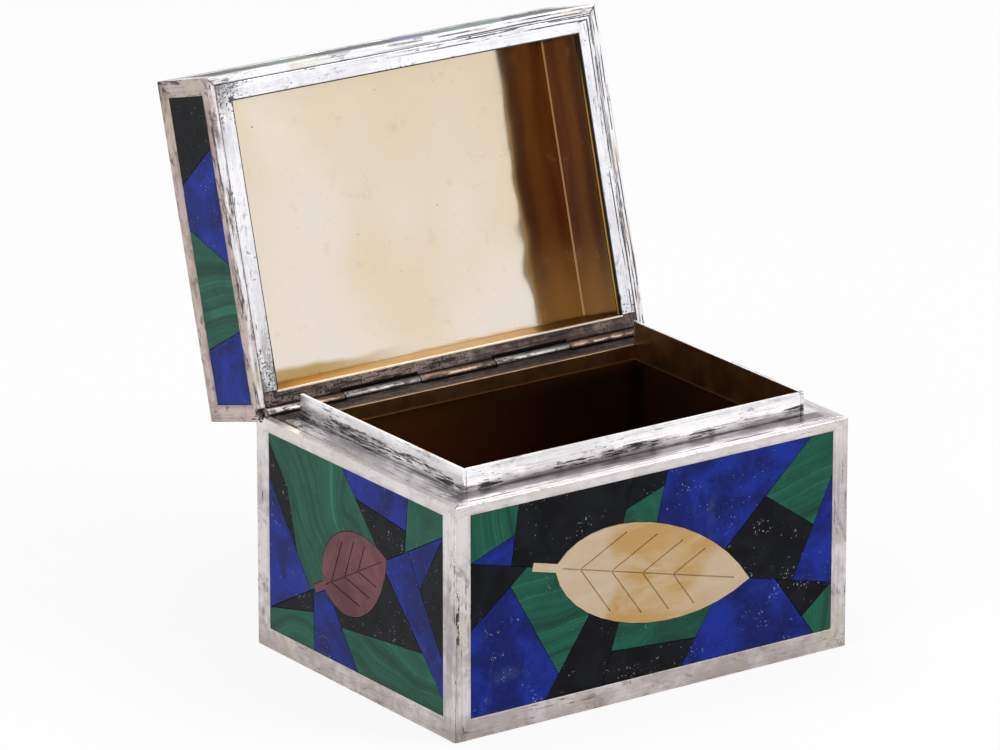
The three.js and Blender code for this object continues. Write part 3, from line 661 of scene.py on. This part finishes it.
def stone_place(n):
    """The surface's place in millimetres, shifted for each stone so that no two look alike."""
    number = stone_number(n)
    shift = n.scaled(n.join(number, number, number), *STONE_SHIFT)
    return n.add("ShaderNodeVectorMath", {0: place_mm(n), 1: shift}, operation="ADD").outputs[0]


def stone_marks(n, place):
    """Tiny pits that lie in clusters, and a few short scratches."""
    pits = n.step(n.noise(place, 1.5, 2.0, 0.55), 0.63, 0.68)
    crowd = n.step(n.noise(place, 0.13, 3.0, 0.6), 0.55, 0.66)
    strays = n.step(n.noise(place, 1.2, 1.0, 0.5), 0.755, 0.79)
    scratch = n.step(n.noise(place, (0.28, 2.6, 0.9), 2.0, 0.5, 0.4), 0.755, 0.785)
    marks = n.most(pits * crowd, strays * 0.8)
    return n.most(marks, scratch * 0.5)


def stone_surface(n, colour, rough, height, strength, specular):
    inputs = {"Base Color": colour, "Roughness": rough, "Normal": n.bump(height, strength, 0.0001)}
    return n.surface({**inputs, "Specular IOR Level": specular})


def onyx():
    """Black onyx, faintly clouded, with pale pits."""
    n = material("black_onyx")
    place = stone_place(n)
    cloud = n.noise(place, 0.10, 5.0, 0.6, 0.6)
    colour = n.mix(n.step(cloud, 0.35, 0.7), (0.0030, 0.0034, 0.0048), (0.0085, 0.0093, 0.0130))
    marks = stone_marks(n, place)
    colour = n.mix(marks * 0.75, colour, (0.36, 0.37, 0.39))
    rough = 0.26 + cloud * 0.14
    return stone_surface(n, colour, rough, marks * -1.0, 0.2, 0.07)


def lapis():
    """Blue lapis: clouds, a fine grain and smoky veils."""
    n = material("blue_lapis")
    place = stone_place(n)
    cloud = n.noise(place, 0.075, 4.0, 0.6, 0.5)
    grain = n.noise(place, 0.7, 4.0, 0.7, 0.3)
    colour = n.mix(n.step(cloud, 0.36, 0.64), (0.0035, 0.0090, 0.105), (0.0080, 0.0240, 0.275))
    colour = n.mix(n.step(grain, 0.48, 0.74) * 0.40, colour, (0.016, 0.036, 0.30))
    smoke = n.step(n.noise(place, 0.06, 4.0, 0.6, 1.0), 0.60, 0.78)
    colour = n.mix(smoke * 0.4, colour, (0.050, 0.078, 0.19))
    marks = stone_marks(n, place)
    colour = n.mix(marks * 0.6, colour, (0.34, 0.40, 0.55))
    rough = 0.24 + grain * 0.14
    return stone_surface(n, colour, rough, marks * -0.8, 0.15, 0.10)


def malachite():
    """Green malachite, whose bands run another way in each stone."""
    n = material("green_malachite")
    place = stone_place(n)
    turned = n.add("ShaderNodeVectorRotate", {
        "Vector": place,
        "Axis": (0.58, 0.52, 0.63),
        "Angle": stone_number(n) * STONE_TURN,
    }, rotation_type="AXIS_ANGLE").outputs[0]
    bend = n.noise(turned, 0.035, 1.0, 0.5)
    field = n.split(turned)[0] + bend * 13.0
    broad = n.noise(n.join(field * 0.22, 0.0, 0.0), 1.0, 2.0, 0.5)
    narrow = n.noise(n.join(field * 1.1, 4.7, 0.0), 1.0, 3.0, 0.6)
    bands = broad * 0.6 + narrow * 0.4
    colour = n.mix(n.step(bands, 0.38, 0.54), (0.0055, 0.050, 0.030), (0.0100, 0.096, 0.060))
    colour = n.mix(n.step(bands, 0.53, 0.66) * 0.9, colour, (0.030, 0.205, 0.130))
    cloud = n.noise(place, 0.09, 3.0, 0.6)
    colour = n.mix(n.step(cloud, 0.42, 0.7) * 0.45, colour, (0.0035, 0.032, 0.022))
    marks = stone_marks(n, place)
    colour = n.mix(marks * 0.35, colour, (0.22, 0.36, 0.29))
    rough = 0.24 + narrow * 0.12
    return stone_surface(n, colour, rough, marks * -0.6, 0.15, 0.12)


def agate():
    """Honey agate: amber drifts under a pale veil."""
    n = material("honey_agate")
    place = stone_place(n)
    drift = n.noise(place, 0.030, 2.0, 0.5, 0.6)
    veil = n.noise(n.scaled(place, 0.5, 1.0, 1.3), 0.10, 5.0, 0.6, 0.8)
    colour = n.mix(n.step(drift, 0.45, 0.57), (0.56, 0.42, 0.27), (0.50, 0.29, 0.095))
    colour = n.mix(n.step(veil, 0.42, 0.70) * 0.5, colour, (0.63, 0.52, 0.39))
    grain = n.noise(place, 0.8, 4.0, 0.65)
    colour = n.mix(n.step(grain, 0.55, 0.78) * 0.18, colour, (0.40, 0.24, 0.11))
    rough = 0.25 + veil * 0.14
    return stone_surface(n, colour, rough, grain, 0.03, 0.25)


def jasper():
    """Maroon jasper, clouded and grainy."""
    n = material("maroon_jasper")
    place = stone_place(n)
    cloud = n.noise(place, 0.10, 5.0, 0.6, 0.6)
    grain = n.noise(place, 1.3, 4.0, 0.7)
    colour = n.mix(n.step(cloud, 0.35, 0.68), (0.105, 0.034, 0.045), (0.180, 0.068, 0.080))
    colour = n.mix(n.step(grain, 0.50, 0.75) * 0.35, colour, (0.065, 0.019, 0.028))
    marks = stone_marks(n, place)
    colour = n.mix(marks * 0.3, colour, (0.38, 0.26, 0.27))
    rough = 0.26 + grain * 0.16
    return stone_surface(n, colour, rough, grain, 0.04, 0.12)


def cement():
    """The dark cement under the stones and between them."""
    n = material("dark_cement")
    place = place_mm(n)
    grain = n.noise(place, 2.5, 4.0, 0.7)
    colour = n.mix(grain, (0.010, 0.009, 0.008), (0.040, 0.036, 0.033))
    rough = n.blend(grain, 0.75, 0.95)
    return n.surface({"Base Color": colour, "Roughness": rough, "Normal": n.bump(grain, 0.3, 0.0002)})


# Shaping
STONE_EDGE, FRAME_EDGE, SHEET_EDGE, BEARER_EDGE = 0.07, 0.3, 0.2, 0.12
WELD = 1e-6
SHARP_ANGLE = math.radians(40)


def paint(obj, made):
    """Gives an object a material in slots of its own."""
    if not obj.material_slots:
        obj.data.materials.append(None)
    for held in obj.material_slots:
        held.link = "OBJECT"
        held.material = made


def soften(obj, width_mm, segments=2):
    """Rounds an object's sharp edges a little."""
    weld = obj.modifiers.new("weld", "WELD")
    weld.merge_threshold = WELD
    bevel = obj.modifiers.new("soft_edges", "BEVEL")
    bevel.width = width_mm * MM
    bevel.segments = segments
    bevel.limit_method = "ANGLE"
    bevel.angle_limit = SHARP_ANGLE


def edge_of(node):
    """How far the edges of a silver piece are rounded, in millimetres."""
    if node.endswith("_frame"):
        return FRAME_EDGE
    if node.startswith("collar") or node in ("ledge_plate", "lid_rim"):
        return SHEET_EDGE
    return BEARER_EDGE if node.endswith("_bearer") else 0.0


def add_piece(name, bm, body, slot, made, *nodes):
    """A mesh that rides on a body and stands for some of its nodes."""
    mesh = bpy.data.meshes.new(name)
    bmesh.ops.recalc_face_normals(bm, faces=bm.faces)
    bm.to_mesh(mesh)
    bm.free()
    obj = bpy.data.objects.new(name, mesh)
    scene.collection.objects.link(obj)
    paint(obj, made)
    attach(obj, body)
    if nodes:
        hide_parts(*nodes)
    return obj


# Stones of the joined panels
OUTWARD = {
    "front": Vector((0, -1, 0)),
    "back": Vector((0, 1, 0)),
    "left": Vector((-1, 0, 0)),
    "right": Vector((1, 0, 0)),
    "top": Vector((0, 0, 1)),
}
CEMENT_BED = 0.5 * MM
BED_CLEARANCE = 0.05 * MM
SHARD_DEPTH = 1.7 * MM
NEIGHBOUR_GAP = 0.3 * MM
ASKEW = Vector((0.31, 0.22, 0.92))
SHARD_STONES = ["onyx", "lapis", "malachite"]
STRIP_STONES = {
    "lid_left": ["lapis", "malachite", "lapis", "onyx"],
    "lid_right": ["onyx", "lapis", "malachite", "lapis"],
    "lid_front": ["onyx", "malachite", "onyx", "lapis", "malachite", "onyx"],
    "lid_back": ["malachite", "lapis", "onyx", "malachite", "lapis", "onyx"],
}


def stone_of(node):
    """The stone that a node is cut from, if it is one stone."""
    if node.endswith("_leaf"):
        return "jasper" if node in ("left_leaf", "right_leaf") else "agate"
    return next((k for k in SHARD_STONES if k in node), None)


def body_of(node):
    return "lid" if node.startswith("lid_") else "box"


def outward(panel):
    """The way that a panel faces as the box stands open."""
    way = OUTWARD[panel.replace("lid_", "")]
    return LID_TURN @ way if panel.startswith("lid_") else way.copy()


def level_triangles(obj, way, high):
    """The triangles of an object that lie flat at its highest or lowest level along a way."""
    mesh = obj.data
    mesh.calc_loop_triangles()
    levels = [v.co.dot(way) for v in mesh.vertices]
    level = max(levels) if high else min(levels)
    flat = []
    for tri in mesh.loop_triangles:
        if all(abs(levels[i] - level) < WELD for i in tri.vertices):
            flat.append([mesh.vertices[i].co.copy() for i in tri.vertices])
    return flat


def spot_key(point):
    return tuple(round(c * 1e7) for c in point)


def outlines_of(triangles):
    """The outlines of the separate faces that the triangles make up, each a loop of points."""
    spots, edges = {}, set()
    for corners in triangles:
        keys = [spot_key(c) for c in corners]
        spots.update(zip(keys, corners))
        edges.update(zip(keys, keys[1:] + keys[:1]))
    follow = {a: b for a, b in edges if (b, a) not in edges}
    loops = []
    while follow:
        start = min(follow)
        at = follow.pop(start)
        loop = [start]
        while at != start:
            loop.append(at)
            at = follow.pop(at)
        loops.append([spots[k].copy() for k in loop])
    return loops


def middle_of(points):
    return sum(points, Vector()) / len(points)


def gap_between(a, b):
    """The least distance from the corners of one outline to the sides of another."""
    best = 1.0
    for one, other in ((a, b), (b, a)):
        for p in one:
            for s, e in zip(other, other[1:] + other[:1]):
                run = e - s
                share = max(0.0, min(1.0, (p - s).dot(run) / max(run.length_squared, 1e-18)))
                best = min(best, (p - s - run * share).length)
    return best


def choose_stones(outlines, turn):
    """A stone for each shard: the least used one that no neighbour has."""
    kinds = SHARD_STONES[turn:] + SHARD_STONES[:turn]
    chosen = []
    for i, outline in enumerate(outlines):
        taken = [chosen[j] for j in range(i) if gap_between(outline, outlines[j]) < NEIGHBOUR_GAP]
        free = [k for k in kinds if k not in taken] or kinds
        chosen.append(min(free, key=lambda k: (chosen.count(k), kinds.index(k))))
    return chosen


def prism(bm, outline, drop):
    """An outline, sunk by a drop."""
    top = [bm.verts.new(p) for p in outline]
    foot = [bm.verts.new(p + drop) for p in outline]
    bm.faces.new(top)
    bm.faces.new(list(reversed(foot)))
    for i in range(len(outline)):
        j = (i + 1) % len(outline)
        bm.faces.new((top[j], top[i], foot[i], foot[j]))


def lay_bed(panel, triangles, way, bed):
    """The cement bed under the stones of a panel, with the leaf's pocket left open."""
    bm = bmesh.new()
    verts = {}
    for corners in triangles:
        keys = [spot_key(c) for c in corners]
        for key, corner in zip(keys, corners):
            if key not in verts:
                verts[key] = bm.verts.new(corner)
        bm.faces.new([verts[key] for key in keys])
    grown = bmesh.ops.extrude_face_region(bm, geom=list(bm.faces))["geom"]
    for vert in (g for g in grown if isinstance(g, bmesh.types.BMVert)):
        vert.co += way * (CEMENT_BED - BED_CLEARANCE)
    add_piece(panel + "_cement", bm, body_of(panel), "mosaic", bed, panel + "_mosaic")


def lay_stones(panel, turn, stones, bed, first_index):
    """Separate stones on their cement in place of a joined slab."""
    node = panel + "_mosaic"
    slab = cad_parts[node]
    way = outward(panel)
    outlines = outlines_of(level_triangles(slab, way, True))
    middle = middle_of([p for o in outlines for p in o])
    across = way.cross(ASKEW).normalized()
    up = way.cross(across)
    if panel in STRIP_STONES:
        run = Vector((1, 0, 0)) if panel in ("lid_front", "lid_back") else Vector((0, 0, 1))
        outlines.sort(key=lambda o: middle_of(o).dot(run))
        kinds = STRIP_STONES[panel]
    else:
        def bearing(outline):
            arm = middle_of(outline) - middle
            return math.atan2(arm.dot(up), arm.dot(across))
        outlines.sort(key=bearing)
        kinds = choose_stones(outlines, turn)
    for i, (outline, kind) in enumerate(zip(outlines, kinds)):
        bm = bmesh.new()
        prism(bm, outline, way * -SHARD_DEPTH)
        shard = add_piece(f"{panel}_{kind}_{i + 1:02d}", bm, body_of(panel), kind, stones[kind], node)
        shard.pass_index = first_index + i
        soften(shard, STONE_EDGE, 1)
    lay_bed(panel, level_triangles(slab, way, False), way, bed)
    return first_index + len(outlines)


# Hinge
KNUCKLE_EASE = 0.2
KNUCKLE_STEPS = 64
ROUND_SIDE = 3
SOLDER_FROM, SOLDER_TO = 0.06 * math.pi, 0.40 * math.pi


def add_knuckle(node, made):
    """A knuckle turned on its axis, with eased ends, a bore, and solder towards its bearer."""
    low, high = (Vector(c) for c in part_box(node))
    bore, ease = BORE_RADIUS * MM, KNUCKLE_EASE * MM
    axis = Vector((0, AXIS_Y * MM, AXIS_Z * MM))
    on_lid = node.startswith("lid_")
    bm = bmesh.new()
    rings = []
    for k in range(KNUCKLE_STEPS):
        bearing = 2 * math.pi * k / KNUCKLE_STEPS
        forward, away = math.cos(bearing), math.sin(bearing)
        r = (CHANNEL_RADIUS if SOLDER_FROM < bearing < SOLDER_TO else KNUCKLE_RADIUS) * MM
        profile = [
            (low.x, bore), (low.x, r - ease), (low.x + 0.3 * ease, r - 0.3 * ease), (low.x + ease, r),
            (high.x - ease, r), (high.x - 0.3 * ease, r - 0.3 * ease), (high.x, r - ease), (high.x, bore),
        ]
        arm = LID_TURN @ Vector((0, -forward, away)) if on_lid else Vector((0, -forward, -away))
        rings.append([bm.verts.new(Vector((x, 0, 0)) + axis + arm * reach) for x, reach in profile])
    for one, other in zip(rings, rings[1:] + rings[:1]):
        for i in range(len(one)):
            j = (i + 1) % len(one)
            face = bm.faces.new((one[i], one[j], other[j], other[i]))
            face.smooth = i == ROUND_SIDE
    add_piece(node + "_tube", bm, body_of(node), "silver", made, node)


# Soldered corners
SOLDER_RADIUS = 0.55 * MM
SOLDER_STEPS = 8
SOLDER_TRIM = 0.25 * MM
BEVEL_TRIM = 2.6 * MM


def solder_silver():
    """The rounded solder along the mitres: rubbed bright, with black nicks."""
    n = material("silver_solder")
    place = place_mm(n)
    patch = n.noise(place, 0.09, 4.0, 0.6)
    colour = n.mix(n.step(patch, 0.36, 0.64), (0.86, 0.84, 0.84), (0.60, 0.54, 0.53))
    worn = n.step(n.noise(place, 0.07, 2.0, 0.5), 0.49, 0.58)
    nicks = n.noise(n.scaled(place, 1.0, 1.0, 0.55), 0.7, 5.0, 0.72)
    dark = n.step(nicks - (0.68 - worn * 0.08), -0.010, 0.022)
    colour = n.mix(dark * 0.9, colour, OXIDE)
    rough = n.blend(dark, 0.27, 0.55)
    return silver_surface(n, colour, rough, patch - dark, 0.12)


def add_solder(name, start, end, inward, made, body):
    """A quarter-round bar along a corner, flush with the two faces that meet there."""
    one, other = inward
    if body == "lid":
        axis = Vector((0, AXIS_Y, AXIS_Z)) * MM
        start, end = (axis + LID_TURN @ (p - axis) for p in (start, end))
        one, other = LID_TURN @ one, LID_TURN @ other
    bm = bmesh.new()
    rings = []
    for tip in (start, end):
        centre = tip + (one + other) * SOLDER_RADIUS
        ring = [bm.verts.new(centre)]
        for k in range(SOLDER_STEPS + 1):
            bearing = 0.5 * math.pi * k / SOLDER_STEPS
            arm = one * math.sin(bearing) + other * math.cos(bearing)
            ring.append(bm.verts.new(centre - arm * SOLDER_RADIUS))
        rings.append(ring)
    count = len(rings[0])
    for i in range(count):
        j = (i + 1) % count
        face = bm.faces.new((rings[0][i], rings[0][j], rings[1][j], rings[1][i]))
        face.smooth = 0 < i < count - 1
    bm.faces.new(rings[0])
    bm.faces.new(list(reversed(rings[1])))
    add_piece(name, bm, body, "silver", made)


def add_corners(made):
    """Solder along the upright corners of the body and the lid, and round the lid's top.

    At the back it stops short of the two bevels."""
    half = Vector((HALF_W, HALF_D, 0)) * MM
    mouth = LID_MOUTH * MM
    top = mouth + LID_HEIGHT * MM
    down = Vector((0, 0, -1))
    for x, side in ((-1, "left"), (1, "right")):
        for y, end in ((-1, "front"), (1, "back")):
            inward = (Vector((-x, 0, 0)), Vector((0, -y, 0)))
            trim = BEVEL_TRIM if end == "back" else SOLDER_TRIM
            levels = (SOLDER_TRIM, BODY_HEIGHT * MM - trim, mouth + trim, top - SOLDER_TRIM)
            spot = Vector((x * half.x, y * half.y, 0))
            tips = [spot + Vector((0, 0, z)) for z in levels]
            add_solder(f"solder_{end}_{side}", *tips[:2], inward, made, "box")
            add_solder(f"lid_solder_{end}_{side}", *tips[2:], inward, made, "lid")
    for y, end in ((-1, "front"), (1, "back")):
        tips = [Vector((x * (half.x - SOLDER_TRIM), y * half.y, top)) for x in (-1, 1)]
        add_solder(f"lid_solder_top_{end}", *tips, (Vector((0, -y, 0)), down), made, "lid")
    for x, side in ((-1, "left"), (1, "right")):
        tips = [Vector((x * half.x, y * (half.y - SOLDER_TRIM), top)) for y in (-1, 1)]
        add_solder(f"lid_solder_top_{side}", *tips, (Vector((-x, 0, 0)), down), made, "lid")


# Setting
WORLD_LIGHT = 0.55
FLOOR_REACH, FLOOR_DROP = 6.0, 0.0002
FLOOR_WHITENESS = 0.85
LAMP_AIM = Vector((0, 0, 0.07))


def seen_rays(n):
    """1 for the rays that show the background itself or its reflection."""
    rays = n.add("ShaderNodeLightPath").outputs
    seen = n.most(rays["Is Camera Ray"], rays["Is Glossy Ray"])
    return n.most(seen, rays["Is Transmission Ray"])


def add_world():
    """White to the camera and in reflections, and a softer level of light on the rest."""
    world = bpy.data.worlds.new("studio")
    scene.world = world
    world.use_nodes = True
    n = Nodes(world.node_tree, world)
    strength = n.blend(seen_rays(n), WORLD_LIGHT, 1.0)
    shader = n.add("ShaderNodeBackground", {"Color": WHITE, "Strength": strength})
    n.add("ShaderNodeOutputWorld", {"Surface": shader.outputs[0]})


def add_floor():
    """A plain white floor that keeps a soft shadow."""
    corners = [(x * FLOOR_REACH, y * FLOOR_REACH, 0) for x, y in ((-1, -1), (1, -1), (1, 1), (-1, 1))]
    mesh = bpy.data.meshes.new("floor")
    mesh.from_pydata(corners, [], [(0, 1, 2, 3)])
    floor = bpy.data.objects.new("floor", mesh)
    floor.location.z = -FLOOR_DROP
    scene.collection.objects.link(floor)
    n = material("white_floor")
    lit = n.add("ShaderNodeBsdfDiffuse", {"Color": (0.95, 0.95, 0.95)}).outputs[0]
    white = n.add("ShaderNodeEmission", {"Color": WHITE, "Strength": 1.0}).outputs[0]
    mix = n.add("ShaderNodeMixShader", {0: seen_rays(n) * FLOOR_WHITENESS, 1: lit, 2: white})
    n.add("ShaderNodeOutputMaterial", {"Surface": mix.outputs[0]})
    paint(floor, n.owner)


def add_lamp(name, place, size, power):
    data = bpy.data.lights.new(name, "AREA")
    data.shape = "RECTANGLE"
    data.size, data.size_y = size
    data.energy = power
    lamp = bpy.data.objects.new(name, data)
    lamp.location = place
    aim = LAMP_AIM - Vector(place)
    lamp.rotation_euler = aim.to_track_quat("-Z", "Y").to_euler()
    scene.collection.objects.link(lamp)


add_camera()
add_world()
add_floor()
add_lamp("key_softbox", (0.9, -1.0, 1.1), (0.9, 0.9), 9.0)
add_lamp("side_softbox", (-1.2, -0.3, 0.8), (0.8, 0.8), 4.0)
add_lamp("top_softbox", (0.0, 0.3, 1.5), (1.0, 1.0), 6.0)
scene.view_settings.view_transform = "Standard"

# Finishes of the pieces that keep their shape
pinkish = silver_look((0.67, 0.63, 0.63), (0.47, 0.42, 0.415))
lid_pinkish = silver_look((0.53, 0.43, 0.40), (0.36, 0.28, 0.258), smudge=(0.085, 0.058, 0.050),
                          smudges=0.9, streaks=0.8, browned=0.6, grit=0.6)
lid_greyish = silver_look((0.74, 0.725, 0.74), (0.54, 0.525, 0.535), smudge=GREY_SMUDGE, grained=0.3,
                          stroke=(3.0, 2.2), streaks=0.9, lines=0.7, worn=0.7)
ledge_look = silver_look((0.88, 0.84, 0.855), (0.60, 0.555, 0.57), smudge=GREY_SMUDGE, grained=0.3,
                         detail=4.0, stroke=(2.0, 1.5), streaks=1.0, lines=0.7)
bearer_look = silver_look((0.25, 0.185, 0.165), (0.075, 0.050, 0.043), grained=0.15, detail=4.0,
                          streaks=0.9, lines=0.6, grit=1.0, roughness=0.38)
rim_look = silver_look((0.85, 0.84, 0.875), (0.64, 0.63, 0.665), smudge=(0.24, 0.23, 0.25), grained=0.2,
                       detail=4.0, stroke=(2.5, 1.6), smudges=0.6, streaks=0.7, lines=0.0, grit=0.95,
                       roughness=0.26)
collar_look = silver_look((0.92, 0.91, 0.93), (0.76, 0.745, 0.765), smudge=GREY_SMUDGE, grained=0.3,
                          stroke=(1.9, 2.4), streaks=1.2, grit=0.3, roughness=0.2)
lid_knuckles = [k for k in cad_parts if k.startswith("lid_knuckle")]
body_knuckles = [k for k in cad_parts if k.startswith("body_knuckle")]
body_bearer_lip_and_shade = bearer_lip_and_shade(LEDGE_WIDTH, BODY_LIP, lid_knuckles)
lid_bearer_lip_and_shade = bearer_lip_and_shade(LID_RIM_WIDTH, BEARER_LIP_HIGHLIGHT, body_knuckles)
lid_top_window = (HALF_W - LID_TOP_BORDER, HALF_D - LID_TOP_BORDER, 0.0, 0.0)
frames = {
    "front_frame": (0, FRONT_STILE, BODY_LOW_RAIL, FRONT_HIGH_RAIL, pinkish),
    "back_frame": (0, FRONT_STILE, BODY_LOW_RAIL, BACK_HIGH_RAIL, pinkish),
    "end_frames": (1, END_STILE, BODY_LOW_RAIL, END_HIGH_RAIL, pinkish),
    "lid_front_frame": (0, LID_STILE, LID_MOUTH_RAIL, LID_HIGH_RAIL, lid_greyish),
    "lid_back_frame": (0, LID_STILE, LID_BACK_MOUTH_RAIL, LID_HIGH_RAIL, lid_pinkish),
    "lid_end_frames": (1, LID_STILE, LID_MOUTH_RAIL, LID_HIGH_RAIL, lid_pinkish),
}
looks = {name: upright_frame(name, *sizes) for name, sizes in frames.items()}
for side in ("left", "right"):
    looks[side + "_frame"] = looks["end_frames"]
    looks[f"lid_{side}_frame"] = looks["lid_end_frames"]
looks.update({
    "lid_top_frame": frame_silver("lid_top_frame", (0, 1), (HALF_W, HALF_D), (0.0, 0.0),
                                  lid_top_window, pinkish, True),
    "ledge_plate": ring_silver("ledge", ledge_look, ledge_painted_shade),
    "lid_rim": ring_silver("lid_rim", rim_look, rim_marks_and_shade),
    "body_hinge_bearer": ring_silver("body_bearer", bearer_look, body_bearer_lip_and_shade),
    "lid_hinge_bearer": ring_silver("lid_bearer", bearer_look, lid_bearer_lip_and_shade),
    "body_liner": body_gilt(),
    "lid_liner": lid_gilt(),
})
collar = collar_silver(collar_look)
sheet = sheet_silver()
looks.update((f"collar_{side}", collar) for side in ("left", "right", "front", "back"))
looks.update((node, sheet) for node in ("base_plate", "body_shell", "lid_shell", "hinge_pin"))
stones = {made.__name__: made() for made in (onyx, lapis, malachite, agate, jasper)}
bed = cement()
next_index = 1
for node, obj in sorted(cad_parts.items()):
    kind = stone_of(node)
    if kind:
        obj.pass_index = next_index
        next_index += 1
        paint(obj, stones[kind])
        soften(obj, STONE_EDGE, 1)
    elif node in looks:
        paint(obj, looks[node])
        if edge_of(node):
            soften(obj, edge_of(node))

# Stones and knuckles that stand for plainer pieces
for turn, panel in enumerate(("back", "left", "right", "lid_top", *STRIP_STONES)):
    next_index = lay_stones(panel, turn % 3, stones, bed, next_index)
lid_tube = tube_silver("silver_lid_knuckles", (0.25, 0.172, 0.130), (0.055, 0.039, 0.033))
body_tube = tube_silver("silver_body_knuckles", (0.25, 0.235, 0.225), (0.070, 0.060, 0.056))
for node in sorted(lid_knuckles + body_knuckles):
    add_knuckle(node, lid_tube if node.startswith("lid_") else body_tube)

add_corners(solder_silver())
